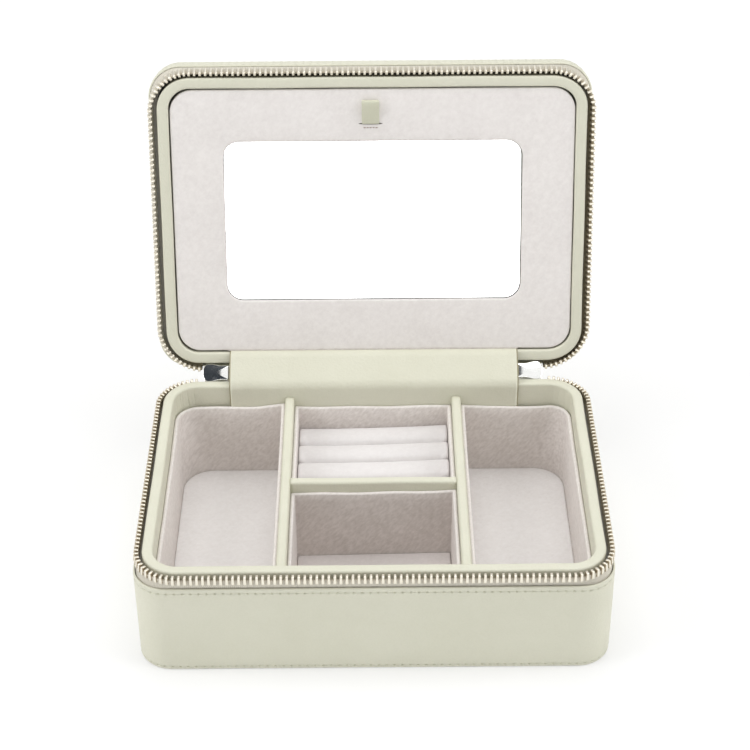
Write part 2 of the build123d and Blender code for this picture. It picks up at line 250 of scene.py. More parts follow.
def relief(tree, shader, height, depth, strength):
    """Bump of a height between 0 and 1 that stands for depth mm."""
    bump = node(tree, "ShaderNodeBump", {"Height": height, "Distance": depth * mm, "Strength": strength})
    tree.links.new(bump.outputs["Normal"], shader.inputs["Normal"])


def ranged(tree, value, low, high, start=0.0, stop=1.0):
    """A value that runs from start to stop, stretched to run from low to high."""
    sockets = {"Value": value, "From Min": start, "From Max": stop, "To Min": low, "To Max": high}
    return node(tree, "ShaderNodeMapRange", sockets).outputs["Result"]


def mottled(name, slot, sockets, scale, detail, dark, light, depth=0.0, strength=0.0):
    """Finish clouded between two shades by a noise, which also stands out by depth mm if that is given."""
    material, tree, shader, place = new_finish(name, slot, sockets)
    cloud = noise(tree, place, scale, detail)
    two_tone(tree, shader, cloud, dark, light)
    if depth:
        relief(tree, shader, cloud, depth, strength)
    return material


hide_grain, where, hide_out = texture_group("hide_grain", ["Tone", "Height"])
cells = {"Vector": where, "Scale": 1150.0, "Smoothness": 0.6}
pebble = node(hide_grain, "ShaderNodeTexVoronoi", cells, feature="SMOOTH_F1").outputs["Distance"]
pore = noise(hide_grain, where, 3400.0, 2.0)
cloud = noise(hide_grain, where, 45.0, 5.0, 0.65)
dome = maths(hide_grain, "MULTIPLY_ADD", pebble, -1.1, 1.0)
tone = maths(hide_grain, "MULTIPLY_ADD", dome, 0.25, cloud)
height = maths(hide_grain, "MULTIPLY_ADD", pore, 0.35, dome)
hide_grain.links.new(ranged(hide_grain, tone, 0.0, 1.0, 0.2, 1.15), hide_out.inputs["Tone"])
hide_grain.links.new(height, hide_out.inputs["Height"])
# Painted shade: the dark tone of the cut mark, for the shadow line beside the flap's side edges.
painted_edge_shade = (150, 143, 116)


def calf(name, dark, light):
    """Calf leather with the fine grain, clouded between two shades. A cut mark paints shade along an edge: a
    dark line for the shadow that the edge casts beside it."""
    material, tree, shader, place = new_finish(name, "green_leather", {"Specular IOR Level": 0.5})
    hide = node(tree, "ShaderNodeGroup", {"Vector": place}, node_tree=hide_grain).outputs
    two_tone(tree, shader, marked(tree, "cut"), blended(tree, hide["Tone"], dark, light), painted_edge_shade)
    relief(tree, shader, hide["Height"], 0.12, 0.6)
    tree.links.new(ranged(tree, hide["Height"], 0.62, 0.46), shader.inputs["Roughness"])
    return material


sage_leather = calf("sage_leather", (210, 209, 190), (219, 218, 201))
waxed = {"Roughness": 0.6, "Sheen Weight": 0.3}
thread_tones = ((196, 195, 176), (218, 217, 200))
sage_thread = mottled("sage_thread", "green_leather", waxed, 2600.0, 2.0, *thread_tones, 0.05, 0.6)

wrap_length = outline_length() + (8 - 2 * pi) * wrap_tight
stitch_count = round(wrap_length / stitch_aim)
stitch_pitch = wrap_length / stitch_count


def run_along(line):
    """Length of a line of points from its start to each of them."""
    return np.concatenate([[0.0], np.cumsum(np.linalg.norm(np.diff(line, axis=0), axis=1))])


def unit(vectors):
    """Vectors, one to a row, brought to length 1."""
    return vectors / np.linalg.norm(vectors, axis=1, keepdims=True)


def hill(off, spread):
    """Gaussian hill of height 1: e to the power of minus (off over spread) squared."""
    return np.exp(-((off / spread) ** 2))


def wrap_stations(count, shift):
    """Travel of count stations at even steps along the leather's own plan, whose corners are tighter."""
    fine = np.linspace(0, outline_length(), 6001)
    length = run_along(carry(fine, [0.0], [0.0], wrap_tight)[:, 0])
    return np.interp((np.arange(count) + shift) * length[-1] / count, length, fine)


def wrap_skin(edge, foot):
    """Leather wall from its zip edge to its foot, two heights. The section has both outer edges rounded; each
    stitch row presses a Gaussian valley into the face and each needle hole a deeper Gaussian pit."""
    length = abs(foot - edge)
    turn = np.linspace(0, pi / 2, 5)
    rows = np.array([stitch_from_edge, length - stitch_from_foot])
    near = np.array([-1.1, -0.7, -0.42, -0.2, 0.0, 0.2, 0.42, 0.7, 1.1])
    face = np.concatenate([(rows[:, None] + near).ravel(), np.arange(4.6, length - 3.5, 3.6)])
    face = np.sort(face[(face > edge_round + 0.08) & (face < length - foot_round - 0.08)])
    draw = 1 - np.sin(turn)
    dip = 1 - np.cos(turn)
    inset = np.concatenate([[skived], edge_round * draw, 0 * face, foot_round * dip, [leather]])
    down = np.concatenate([[0], edge_round * dip, face, length - foot_round * draw, [length]])
    travel = wrap_stations(stitch_count * steps_per_stitch, 0.0)
    half = steps_per_stitch // 2
    gap = ((np.arange(len(travel)) + half) % steps_per_stitch - half) * stitch_pitch / steps_per_stitch
    off = down - rows[:, None]
    valley = stitch_sink * hill(off, 0.55).sum(axis=0)
    pit = hole_depth * hill(gap, 0.5)[:, None] * hill(off, 0.32).sum(axis=0)
    wave = np.sin(travel * 14 * pi / outline_length() + 0.8)[:, None] * np.sin(pi * down / length)
    press = np.where(inset < skived, valley + pit + 0.1 * wave, 0.0)
    return skin(carry(travel, inset + press, edge + np.sign(foot - edge) * down, wrap_tight), joined=True)


def thread_skin(spots, along, out, length):
    """Row of stitches: a tube on the curve out = rise - dip times share^4, so that both ends dive into the
    needle holes. along and out are the directions of each stitch."""
    share = np.linspace(-1, 1, 7)[:, None]
    ring = np.linspace(0, 2 * pi, 6, endpoint=False)
    slim = thread_radius * (1 - 0.35 * share**4)
    rows = [share * length / 2 + 0 * ring, 0.04 - 0.6 * share**4 + slim * np.cos(ring), slim * np.sin(ring)]
    axes = np.stack([along, out, np.cross(along, out)], axis=1)
    return scatter(skin(np.stack(rows, axis=-1)), spots, axes)


def wrap_threads(edge, foot):
    """Both stitch rows of a wrap, each stitch midway between two needle holes and slanted a little."""
    spot, normal, corner_way = outline(wrap_stations(stitch_count, 0.5))
    bed = spot + wrap_tight * corner_way - stitch_sink * normal
    out = at_height(normal, 0.0)
    along = unit(np.cross((0.0, 0.0, 1.0), out) + (0.0, 0.0, stitch_slant))
    side = np.sign(foot - edge)
    rows = [edge + side * stitch_from_edge, foot - side * stitch_from_foot]
    return [thread_skin(at_height(bed, row), along, out, stitch_pitch - stitch_gap) for row in rows]


piece("base_wrap_leather", [wrap_skin(base_edge, base_foot)], sage_leather, "base", "base_wrap")
piece("base_stitching", wrap_threads(base_edge, base_foot), sage_thread, "base")

# Sole and hidden boards of the base
# The sole is a flat leather sheet glued under the floor board and tucked inside the wrap's foot. Greyboard
# forms the floor and the walls behind the leather.
sole_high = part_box("base_sole")[1]
sole_inset = half_width - sole_high.x / mm


def round_rims(low, high, edge):
    """Insets and heights of a plate's rings from its low face to its high one, with both rims quarter circles
    of radius edge."""
    turn = np.linspace(0, pi / 2, 4)
    rim = edge * (1 - np.sin(turn))
    rise = edge * (1 - np.cos(turn))
    return np.concatenate([rim, rim[::-1]]), np.concatenate([low + rise, high - rise[::-1]])


def plate_skin(inset, low, high, edge, tight):
    """Plate over the whole outline, drawn in by inset, with round rims and its corners tightened by tight
    mm."""
    rims, heights = round_rims(low, high, edge)
    travel = np.linspace(0, outline_length(), 360, endpoint=False)
    return skin(carry(travel, inset + rims, heights, tight).transpose(1, 0, 2))


sole_shape = plate_skin(sole_inset, 0, sole_high.z / mm, 0.45, wrap_tight)
piece("base_sole_leather", [sole_shape], sage_leather, "base", "base_sole")

board_tones = ((142, 140, 134), (172, 169, 161))
grey_board = mottled("grey_board", "grey_board", {"Roughness": 0.9}, 900.0, 4.0, *board_tones, 0.06, 0.5)


def dress(node_name, material):
    """Gives a CAD node that keeps its own shape a finish."""
    mesh = nodes[node_name].data
    mesh.materials.clear()
    mesh.materials.append(material)


for board in ("base_floor_board", "base_wall_board", "lid_board", "lid_wall_board", "mirror_backing"):
    dress(board, grey_board)

# Collar of the base
# A leather-covered frame that stands up inside the zip and closes against the lid's collar. The leather is
# drawn tight over the board, so the rim has small round edges, and it gathers into creases in the corners.
collar_low, collar_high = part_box("base_collar")
collar_inset = half_width - collar_high.x / mm
collar_thickness = 4.6
collar_round = 1.0
collar_rim = collar_high.z / mm
collar_foot = collar_low.z / mm
crease_spots = np.array([0.14, 0.3, 0.46, 0.62, 0.8])
crease_spread = 0.6
faint_corner = 0.25
shuffle = np.random.default_rng(7)


def stations(straight_step, bend_step):
    """Stations round the outline, closer together in the bends than on the straights."""
    a = half_width - corner_radius
    b = half_depth - corner_radius
    bend = pi / 2 * corner_radius
    corner = (bend, bend_step)
    side = (2 * b, straight_step)
    runs = [(a, straight_step), corner, side, corner, (2 * a, straight_step), corner, side, corner]
    runs.append((a, straight_step))
    starts = np.concatenate([[0.0], np.cumsum([run for run, step in runs])])
    legs = [np.arange(0, run, run / round(run / step))[: round(run / step)] for run, step in runs]
    return np.concatenate([start + leg for start, leg in zip(starts, legs)])


def collar_skin(rim, foot, thickness, slides=()):
    """Frame with a rim of two quarter circles and a slight crown between them. Inside each corner a few
    slanted Gaussian valleys, fading towards the rim and the floor, stand for the creases of the gathered
    leather, which are faint in the last corner, at the back right. The slides give sides that sit off their
    place: the way a side faces, and how far in its outer and its inner face lie."""
    length = abs(foot - rim)
    inner = collar_inset + thickness
    turn = np.linspace(0, pi / 2, 7)
    arc_in = collar_round * (1 - np.cos(turn))
    arc_down = collar_round * (1 - np.sin(turn)) + 0.06
    wall = np.array([2.8, 4.2, 6.0, 8.0, 10.0, 12.0, 0.5 * length + 6])
    wall = wall[wall < length - 0.5]
    crown = np.array([0.35, 0.5, 0.65])
    crown_in = collar_inset + collar_round + crown * (thickness - 2 * collar_round)
    inset = [[collar_inset], 0 * wall + collar_inset, collar_inset + arc_in, crown_in]
    inset += [inner - arc_in[::-1], 0 * wall + inner, [inner]]
    down = [[length], wall[::-1], arc_down, 0 * crown, arc_down[::-1], wall, [length]]
    inset = np.concatenate(inset)
    down = np.concatenate(down)
    travel = stations(1.6, 0.3)
    bend = pi / 2 * corner_radius
    a = half_width - corner_radius
    b = half_depth - corner_radius
    corners = np.array([a, a + bend + 2 * b, 3 * a + 2 * bend + 2 * b, 3 * a + 3 * bend + 4 * b])
    centres = (corners[:, None] + bend * crease_spots).ravel()
    centres = centres + shuffle.uniform(-1.5, 1.5, centres.shape)
    slant = shuffle.uniform(-0.18, 0.18, centres.shape)
    depth = shuffle.uniform(0.08, 0.3, centres.shape)
    depth[-len(crease_spots) :] *= faint_corner
    fade = np.clip((down - 1.5) / 2.5, 0, 1) * np.clip((16 - down) / 5, 0, 1)
    lean = centres[:, None] + slant[:, None] * down
    valley = hill(travel[:, None, None] - lean, crease_spread)
    crease = (depth[:, None] * valley).sum(axis=1) * fade
    wave = 0.07 * np.sin(travel * 22 * pi / outline_length())[:, None] * np.exp(-down / 8)
    press = np.where(inset > inner - 0.3, crease, 0.0) + wave
    for way, drops in slides:
        facing = np.clip(outline(travel)[1] @ np.array(way), 0, 1)[:, None] ** 2
        press = press - np.interp(inset, [collar_inset, inner], drops) * facing
    return skin(carry(travel, inset - press, rim + np.sign(foot - rim) * down), joined=True)


base_collar = collar_skin(collar_rim, collar_foot, collar_thickness)
piece("base_collar_leather", [base_collar], sage_leather, "base", "base_collar")

# Zip tapes
# Beige twill tape sewn in behind the leather, one strip for the base and one for the lid, which flares out to
# the teeth. Its diagonal ribs show between the leather's edge and the teeth.
hinge = next(joint for joint in frame["joints"] if joint["name"] == "lid_hinge")
hinge_y = hinge["pos_m"][1] / mm
parting = hinge["pos_m"][2] / mm
open_angle = radians(hinge["range_deg"][1])
tape_inset = sole_inset
tape = 0.6
tape_top = 13.0
tape_gap = {-1: 0.45, 1: 0.1}
flare_top = 6.8
flare_run = 2.6
cord_radius = 0.6
cord_rise = {-1: 2.3, 1: 1.3}
# Painted shade on the tape's inner side: where it starts across the tape, and how far it takes to come in.
zip_shade_start = 11.4
zip_shade_run = 0.9
rib_pitch = 0.62
tooth_inset = 0.6
tooth_length = 3.8
zip_slide = 1.9
most_lean = 0.44
corner_lean = 0.35
slider_low, slider_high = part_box("slider_right")
zip_end = slider_high.x / mm + 0.4

twill, where, twill_out = texture_group("twill_ribs", ["Rib"])
split = node(twill, "ShaderNodeSeparateXYZ", {"Vector": where}).outputs
slope = maths(twill, "MULTIPLY_ADD", split[0], 0.8, split[1])
wave = maths(twill, "SINE", maths(twill, "MULTIPLY", slope, 2 * pi / rib_pitch))
twill.links.new(maths(twill, "MULTIPLY_ADD", wave, 0.5, 0.5), twill_out.inputs["Rib"])

dull = {"Roughness": 0.85, "Sheen Weight": 0.25}
beige_twill, tree, shader, place = new_finish("beige_twill", "zip_tape", dull)
on_tape = node(tree, "ShaderNodeCombineXYZ", {0: marked(tree, "travel"), 1: marked(tree, "across")})
rib = node(tree, "ShaderNodeGroup", {"Vector": on_tape.outputs[0]}, node_tree=twill).outputs["Rib"]
rib_colour = blended(tree, rib, (196, 190, 174), (224, 219, 206))
# The darker tone, by the zip shade mark, is painted shade on the tape's inner side beside the teeth.
two_tone(tree, shader, marked(tree, "painted_zip_shade"), rib_colour, (156, 144, 118))
relief(tree, shader, rib, 0.12, 0.8)


def mark(obj, name, values):
    """Stores one number for each point of a piece, for a pattern that follows the surface. Points after the
    last value get 0."""
    stored = np.zeros(len(obj.data.vertices))
    stored[: np.size(values)] = np.ravel(values)
    obj.data.attributes.new(name, "FLOAT", "POINT").data.foreach_set("value", stored)


def swing(points, angle=open_angle):
    """Turns points of the shut lid about the hinge line by angle, so that the lid stands open."""
    dy = points[..., 1] - hinge_y
    dz = points[..., 2] - parting
    y = hinge_y + cos(angle) * dy + sin(angle) * dz
    z = parting - sin(angle) * dy + cos(angle) * dz
    return np.stack([points[..., 0], y, z], axis=-1)


def swung(shape):
    """A skin of the shut lid, swung open."""
    return (swing(shape[0]), *shape[1:])


def zip_lean(normal, side):
    """Angle at which the loose zip leans in towards the collar, from the outward normal: most along the lid's
    front and the base's back, less in the lid's back corners, and little along the sides. Only the lid's
    right side leans out. The zip slides in step with the angle. side is -1 for the base and 1 for the lid."""
    x, y = normal.T
    front = np.clip(-y, 0, 1)
    back = np.clip(y, 0, 1)
    if side < 0:
        return most_lean * back + np.where(x < 0, 0.14, 0.08) * x**2
    return most_lean * front + corner_lean * back * np.abs(x) + np.where(x < 0, 0.06, -0.17) * x**2


def painted_zip_shade(normal, side):
    """How much shade is painted on the zip beside its teeth, for the shade between the teeth and the collar:
    all round the base, but half along the lid's front and not along its left side."""
    left, front = np.clip(-normal.T, 0, 1)
    return 1 - (left + 0.5 * front * (1 - left)) * (side > 0)


def smooth_step(share):
    """Step from 0 to 1 that starts and ends level: 3 share^2 - 2 share^3."""
    return share * share * (3 - 2 * share)


def zip_tape(name, side, body, node_name):
    """Tape section carried round from one zip end to the other. Its inset follows a smooth step from the wall
    out to the teeth, a fine cord thickens its edge, and from the teeth's feet on it leans in with them."""
    share = np.linspace(0, 1, 9)
    step = smooth_step(share)
    start = skived + tape_gap[side]
    face = tooth_inset - tape / 2
    flare = start + (face - start) * step
    back = tape_inset + (face - tape_inset) * step + tape
    cord = np.linspace(0, pi, 7)
    cord_in = tooth_inset - cord_radius * np.cos(cord)
    inset = np.concatenate([[tape_inset], flare, [face], cord_in])
    inset = np.concatenate([inset, [tooth_inset + tape / 2], back[::-1], [tape_inset + tape]])
    flare_rise = flare_top - flare_run * share
    cord_foot = [cord_rise[side] + 0.5]
    rise = np.concatenate([[tape_top], flare_rise, cord_foot, cord_rise[side] - cord_radius * np.sin(cord)])
    rise = np.concatenate([rise, cord_foot, flare_rise[::-1], [tape_top]])
    tight = np.concatenate([[wrap_tight], wrap_tight * (1 - step), 0 * cord, np.zeros(len(back) + 3)])
    travel = np.linspace(zip_end, outline_length() - zip_end, 620)
    normal = outline(travel)[1]
    lean = zip_lean(normal, side)[:, None]
    loose_run = np.clip(tooth_length - rise, 0, None)
    leant = rise + loose_run * (1 - np.cos(lean))
    slid = zip_slide * lean * np.clip((flare_top - rise) / flare_run, 0, 1)
    rows = carry(travel, inset + slid + loose_run * np.sin(lean), parting + side * leant, tight)
    shape = skin(rows)
    obj = piece(name, [shape if side < 0 else swung(shape)], beige_twill, body, node_name)
    length = run_along(np.stack([inset, rise], axis=-1))
    mark(obj, "travel", np.append(np.repeat(travel, len(length)), travel[[0, -1]]))
    mark(obj, "across", np.tile(length, len(travel)))
    # Painted shade on the inner side of the tape, past the cord.
    mark(obj, "painted_zip_shade", np.outer(painted_zip_shade(normal, side), np.clip((length - zip_shade_start) / zip_shade_run, 0, 1)))


zip_tape("base_tape_twill", -1, "base", "base_zip_tape")
zip_tape("lid_tape_twill", 1, "lid", "lid_zip_tape")

# Zip teeth
# Pale nickel-plated teeth, clamped on the cord at the tape's edge. Each has two legs and a narrower head, and
# the lid's teeth sit half a pitch along from the base's, so that they interleave when the zip is shut.
tooth_pitch = 2.45
tooth_width = 1.1

pale_nickel, tree, shader, place = new_finish("pale_nickel", "zip_teeth", {"Metallic": 0.65})
brush = noise(tree, place, 700.0, 3.0)
plated = blended(tree, brush, (232, 225, 207), (248, 243, 230))
# The darker tone is painted shade between the teeth, where their flanks face each other.
two_tone(tree, shader, marked(tree, "painted_zip_shade"), plated, (176, 161, 134))
tree.links.new(ranged(tree, brush, 0.22, 0.42), shader.inputs["Roughness"])


def tooth_skin():
    """One tooth: rounded squares stacked along its length, widest at the legs, waisted under the head."""
    up = np.array([-tooth_length, -3.65, -3.3, -2.2, -1.5, -1.0, -0.3, 0.03, 0.17])
    half_along = np.array([0.45, 0.66, 0.74, 0.74, 0.66, 0.58, 0.58, 0.54, 0.38])
    half_out = np.array([0.62, 0.93, 1.05, 1.05, 0.98, 0.96, 1.0, 0.95, 0.7])
    along = half_along[:, None] * np.array([1, 0.75, -0.75, -1, -1, -0.75, 0.75, 1])
    out = half_out[:, None] * np.array([0.8, 1, 1, 0.8, -0.8, -1, -1, -0.8])
    return skin(np.stack([along, out, up[:, None] + 0 * along], axis=-1))


def zip_teeth(name, side, body, node_name):
    """A tooth every pitch along the outline at the teeth, counted from the middle of the front. Shade is
    painted on its flanks and the inner side of its legs, for the shade between neighbouring teeth."""
    shift = 0.5 if side < 0 else 0.0
    path_length = outline_length(tooth_inset)
    reach = path_length / 2 - zip_end
    steps = int(np.floor((reach - tooth_width / 2) / tooth_pitch - shift))
    run = (np.arange(steps + 1) + shift) * tooth_pitch
    run = np.unique(np.concatenate([-run, run]))
    spot, normal = outline(path_length / 2 + run, tooth_inset)[:2]
    out = at_height(normal, 0.0)
    along = np.cross((0.0, 0.0, 1.0), out)
    up = np.array([0.0, 0.0, -side])
    lean = zip_lean(normal, side)[:, None]
    leant = up * np.cos(lean) - out * np.sin(lean)
    spots = at_height(spot, parting) + tooth_length * (leant - up) - zip_slide * lean * out
    out = out * np.cos(lean) + up * np.sin(lean)
    shape = scatter(tooth_skin(), spots, np.stack([along, out, leant], axis=1))
    obj = piece(name, [shape if side < 0 else swung(shape)], pale_nickel, body, node_name)
    # Painted shade: flanks and inner legs darker, for the shade between neighbouring teeth.
    flank = np.outer([0.9] * 7 + [0.6, 0.0], [1, 0, 0, 1, 1, 0, 0, 1])
    inner_leg = np.outer([0.65] * 5 + [0.4, 0.1, 0.0, 0.0], [0, 0, 0, 0, 0, 1, 1, 0])
    mark(obj, "painted_zip_shade", np.outer(painted_zip_shade(normal, side), np.append(flank + inner_leg, [0.0, 0.0])))


zip_teeth("base_teeth_nickel", -1, "base", "base_zip_teeth")
zip_teeth("lid_teeth_nickel", 1, "lid", "lid_zip_teeth")

# Zip sliders, pulls and the joined zip ends
# Cast and plated sliders, parked on each side of the hinge: two plates on a post, flanges that hold the chain
# in, and a bridge at the back from which a flat pull hangs. The stops at the zip's ends sit behind them.
slider_start = slider_low.x / mm
slider_length = 12.2
slider_tilt = open_angle / 2
channel = 1.3
plate = 0.9
plate_edge = 0.38
bridge_out = 3.85
bridge_radius = 0.7


def plating(name, dark, light, smooth, hazy):
    """Bright plated metal, clouded between two shades and between a smooth and a hazy polish."""
    material, tree, shader, place = new_finish(name, "bright_metal", {"Metallic": 1.0})
    haze = noise(tree, place, 420.0, 4.0)
    two_tone(tree, shader, haze, dark, light)
    tree.links.new(ranged(tree, haze, smooth, hazy), shader.inputs["Roughness"])
    return material


bright_plate = plating("bright_plate", (238, 238, 235), (252, 252, 250), 0.06, 0.16)
pull_plate = plating("pull_plate", (188, 187, 181), (206, 205, 199), 0.2, 0.34)


def eased(corners, reach, steps=6):
    """Closed polygon with each corner replaced by the parabola (1-t)^2 start + 2t(1-t) corner + t^2 end,
    which leaves and meets the sides reach mm from the corner."""
    corners = np.asarray(corners, float)
    before = np.roll(corners, 1, axis=0) - corners
    after = np.roll(corners, -1, axis=0) - corners
    cut = np.broadcast_to(reach, len(corners))[:, None]
    start = corners + before * np.minimum(cut / np.linalg.norm(before, axis=1, keepdims=True), 0.49)
    end = corners + after * np.minimum(cut / np.linalg.norm(after, axis=1, keepdims=True), 0.49)
    t = np.linspace(0, 1, steps)[None, :, None]
    bent = (1 - t) ** 2 * start[:, None] + 2 * t * (1 - t) * corners[:, None] + t**2 * end[:, None]
    return bent.reshape(-1, corners.shape[1])


def drawn_in(loop, inset):
    """A plan loop moved inwards by inset along its own normals."""
    ahead = np.roll(loop, -1, axis=0) - np.roll(loop, 1, axis=0)
    normal = unit(np.stack([ahead[:, 1], -ahead[:, 0]], axis=-1))
    following = np.roll(loop, -1, axis=0)
    area = np.sum(loop[:, 0] * following[:, 1] - loop[:, 1] * following[:, 0])
    return loop - np.asarray(inset)[..., None, None] * normal * np.sign(area)


def slab(loop, low, high, edge):
    """Rows of a plate over a plan loop between two heights, with round rims."""
    rims, heights = round_rims(low, high, edge)
    return np.stack([at_height(ring, height) for ring, height in zip(drawn_in(loop, rims), heights)])


def block(x_low, x_high, y_low, y_high, z_low, z_high, edge):
    """Small block with eased corners and rims."""
    loop = eased([(x_low, y_low), (x_high, y_low), (x_high, y_high), (x_low, y_high)], edge, 4)
    return skin(slab(loop, z_low, z_high, edge * 0.8))


def tube(line, radius, across):
    """Round bar along a flat line of points; across is the direction square to the line's plane."""
    side = np.cross(unit(np.gradient(line, axis=0)), across)
    ring = np.linspace(0, 2 * pi, 12, endpoint=False)[:, None]
    spread = np.cos(ring) * side[:, None] + np.sin(ring) * np.asarray(across, float)
    return skin(line[:, None] + radius * spread)


def slider_skins():
    """Slider upright on the hinge line, x running out to its wide mouth and y away from the case."""
    half = [(0, 3.5), (4.6, 3.5), (7.6, 4.5), (10.6, 4.5), (slider_length, 1.9)]
    easing = [0.8, 1.4, 1.4, 1.1, 1.1]
    loop = eased(half + [(x, -z) for x, z in half[::-1]], easing + easing[::-1])
    faces = [(channel, channel + plate), (-channel - plate, -channel)]
    skins = [skin(slab(loop, *face, plate_edge)[..., [0, 2, 1]]) for face in faces]
    skins.append(block(9.4, 11.4, -channel, channel, -1.2, 1.2, 0.3))
    for up in (-1, 1):
        for out in (-1, 1):
            reach = sorted((out * 0.5, out * (channel + 0.1)))
            rise = sorted((up * 4.5, up * 3.8))
            skins.append(block(7.6, 10.6, *reach, *rise, 0.2))
    t = np.linspace(0, pi, 25)
    foot = channel + 0.6
    arch = [6.1 - 3.7 * np.cos(t), foot + (bridge_out - foot) * np.sin(t) ** 0.45, 0 * t]
    skins.append(tube(np.stack(arch, axis=-1), bridge_radius, (0, 0, 1)))
    return skins


def pull_skins():
    """Flat pull about the bridge's line: a ring for an eye, made of a small rounded section turned about x,
    and a blade that widens from it to a round end, with a raised border round a sunk field on both faces."""
    wall = eased([(-2, 0.8), (2, 0.8), (2, 1.6), (-2, 1.6)], 0.25, 4)
    turn = np.linspace(0, 2 * pi, 28, endpoint=False)[:, None]
    ring = [wall[:, 0] + 0 * turn, wall[:, 1] * np.cos(turn), wall[:, 1] * np.sin(turn)]
    outline_points = [(-2, -1.0), (-3.5, -11.5), (-3.5, -23), (3.5, -23), (3.5, -11.5), (2, -1.0)]
    blade = slab(eased(outline_points, [0.2, 5.0, 3.4, 3.4, 5.0, 0.2], 9), -0.65, 0.65, 0.3)
    field_points = [(-1.1, -6.0), (-2.5, -12.0), (-2.5, -22), (2.5, -22), (2.5, -12.0), (1.1, -6.0)]
    field = drawn_in(eased(field_points, [0.9, 4.0, 2.4, 2.4, 4.0, 0.9], 9), [0.0, 0.12, 0.25, 0.35])
    sunk = np.array([0.65, 0.6, 0.45, 0.42])[:, None, None] + 0 * field[..., :1]
    back_field, front_field = (np.concatenate([field, way * sunk], axis=-1) for way in (-1, 1))
    blade = np.concatenate([back_field[::-1], blade, front_field])
    return [skin(np.stack(ring, axis=-1), joined=True), skin(blade[..., [0, 2, 1]])]


for name, end in (("left", -1), ("right", 1)):
    side = np.array([end, 1, 1])
    spot = (slider_start, hinge_y, parting)
    parked = [(swing(points + spot, slider_tilt) * side, *faces) for points, *faces in slider_skins()]
    piece(f"slider_{name}_plated", parked, bright_plate, f"{name}_slider", f"slider_{name}")
    eye = swing(np.array([slider_start + slider_length / 2, hinge_y + bridge_out, parting]), slider_tilt)
    hung = [((points + eye) * side, *faces) for points, *faces in pull_skins()]
    piece(f"pull_{name}_plated", hung, pull_plate, f"{name}_pull", f"pull_{name}")
    dress(f"zip_end_{name}", pale_nickel)

# Tray dividers
# Thin boards wrapped in the case leather, standing on the floor between the compartments. The leather is
# pulled round the top, whose edges are soft, and the two long ones rise a little towards the back.
divider_round = 1.5
divider_rise = 1.3
divider_rise_end = 60


def divider_skin(node_name):
    """Upright bar along the longer side of its box: a section with a flat foot and a parabolic round top,
    carried along the length with a slow wave in its height. A bar that runs back rises a little there."""
    low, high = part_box(node_name)
    low = np.array(low) / mm
    high = np.array(high) / mm
    lengthwise = int(high[1] - low[1] > high[0] - low[0])
    cross = 1 - lengthwise
    half = (high[cross] - low[cross]) / 2
    middle = (high[cross] + low[cross]) / 2
    corners = [(-half, low[2]), (half, low[2]), (half, high[2]), (-half, high[2])]
    loop = eased(corners, [0.1, 0.1, divider_round, divider_round], 10)
    run = np.linspace(low[lengthwise], high[lengthwise], 60)
    wave = 0.1 * np.sin(run / 9.0) - 0.1
    wave += divider_rise * lengthwise * np.clip(run / divider_rise_end, 0, 1)
    rows = np.zeros((len(run), len(loop), 3))
    rows[..., lengthwise] = run[:, None]
    rows[..., cross] = middle + loop[:, 0]
    rows[..., 2] = loop[:, 1] + wave[:, None] * (loop[:, 1] > low[2] + 5)
    return skin(rows)


for name in ("divider_left", "divider_right", "divider_cross"):
    piece(f"{name}_leather", [divider_skin(name)], sage_leather, "base", name)

# Suede liners
# Open boxes of thin card covered in pinkish grey suede, dropped in between the dividers. The card gives a
# little, so the top edges wander and lift in the corners, and the suede is paler where it turns over them.
liner_wall = 1.8
liner_loose = 8
pale_rim = 0.4

suede_nap, where, nap_out = texture_group("suede_nap", ["Mottle", "Stroke", "Nap"])
brush_way = {"Vector": where, "Rotation": (0.0, -0.775, 0.514), "Scale": (4.0, 1.0, 1.0)}
slanted = node(suede_nap, "ShaderNodeMapping", brush_way, vector_type="TEXTURE").outputs[0]
stroke = noise(suede_nap, slanted, 900.0, 2.0)
blotch = noise(suede_nap, where, 420.0, 3.0, 0.7)
cloudy = maths(suede_nap, "MULTIPLY_ADD", noise(suede_nap, where, 60.0, 3.0), 0.5, blotch)
suede_nap.links.new(ranged(suede_nap, cloudy, 0.0, 1.0, 0.45, 1.05), nap_out.inputs["Mottle"])
suede_nap.links.new(ranged(suede_nap, stroke, 0.0, 1.0, 0.3, 0.7), nap_out.inputs["Stroke"])
suede_nap.links.new(noise(suede_nap, where, 2400.0, 3.0, 0.7), nap_out.inputs["Nap"])
turned_edge = (246, 242, 239)


def suede(name, dark, light, stroke):
    """Brushed suede: mottled between two shades, with slanted strokes of the brush, a nap and a soft sheen. A
    rim mark turns it lighter along a turned edge."""
    sockets = {"Roughness": 0.95, "Specular IOR Level": 0.15, "Sheen Weight": 0.2, "Sheen Roughness": 0.5}
    material, tree, shader, place = new_finish(name, "suede_lining", sockets)
    nap = node(tree, "ShaderNodeGroup", {"Vector": place}, node_tree=suede_nap).outputs
    share = node(tree, "ShaderNodeMix", {0: stroke, 2: nap["Mottle"], 3: nap["Stroke"]}).outputs[0]
    two_tone(tree, shader, marked(tree, "rim"), blended(tree, share, dark, light), turned_edge)
    relief(tree, shader, nap["Nap"], 0.12, 0.5)
    return material


pink_grey_suede = suede("pink_grey_suede", (203, 195, 189), (234, 228, 224), 0.5)
# A darker copy of the liner suede for the front liner: painted shade of the small front compartment.
shaded_wall_suede = suede("shaded_wall_suede", (194, 186, 180), (225, 218, 214), 0.5)


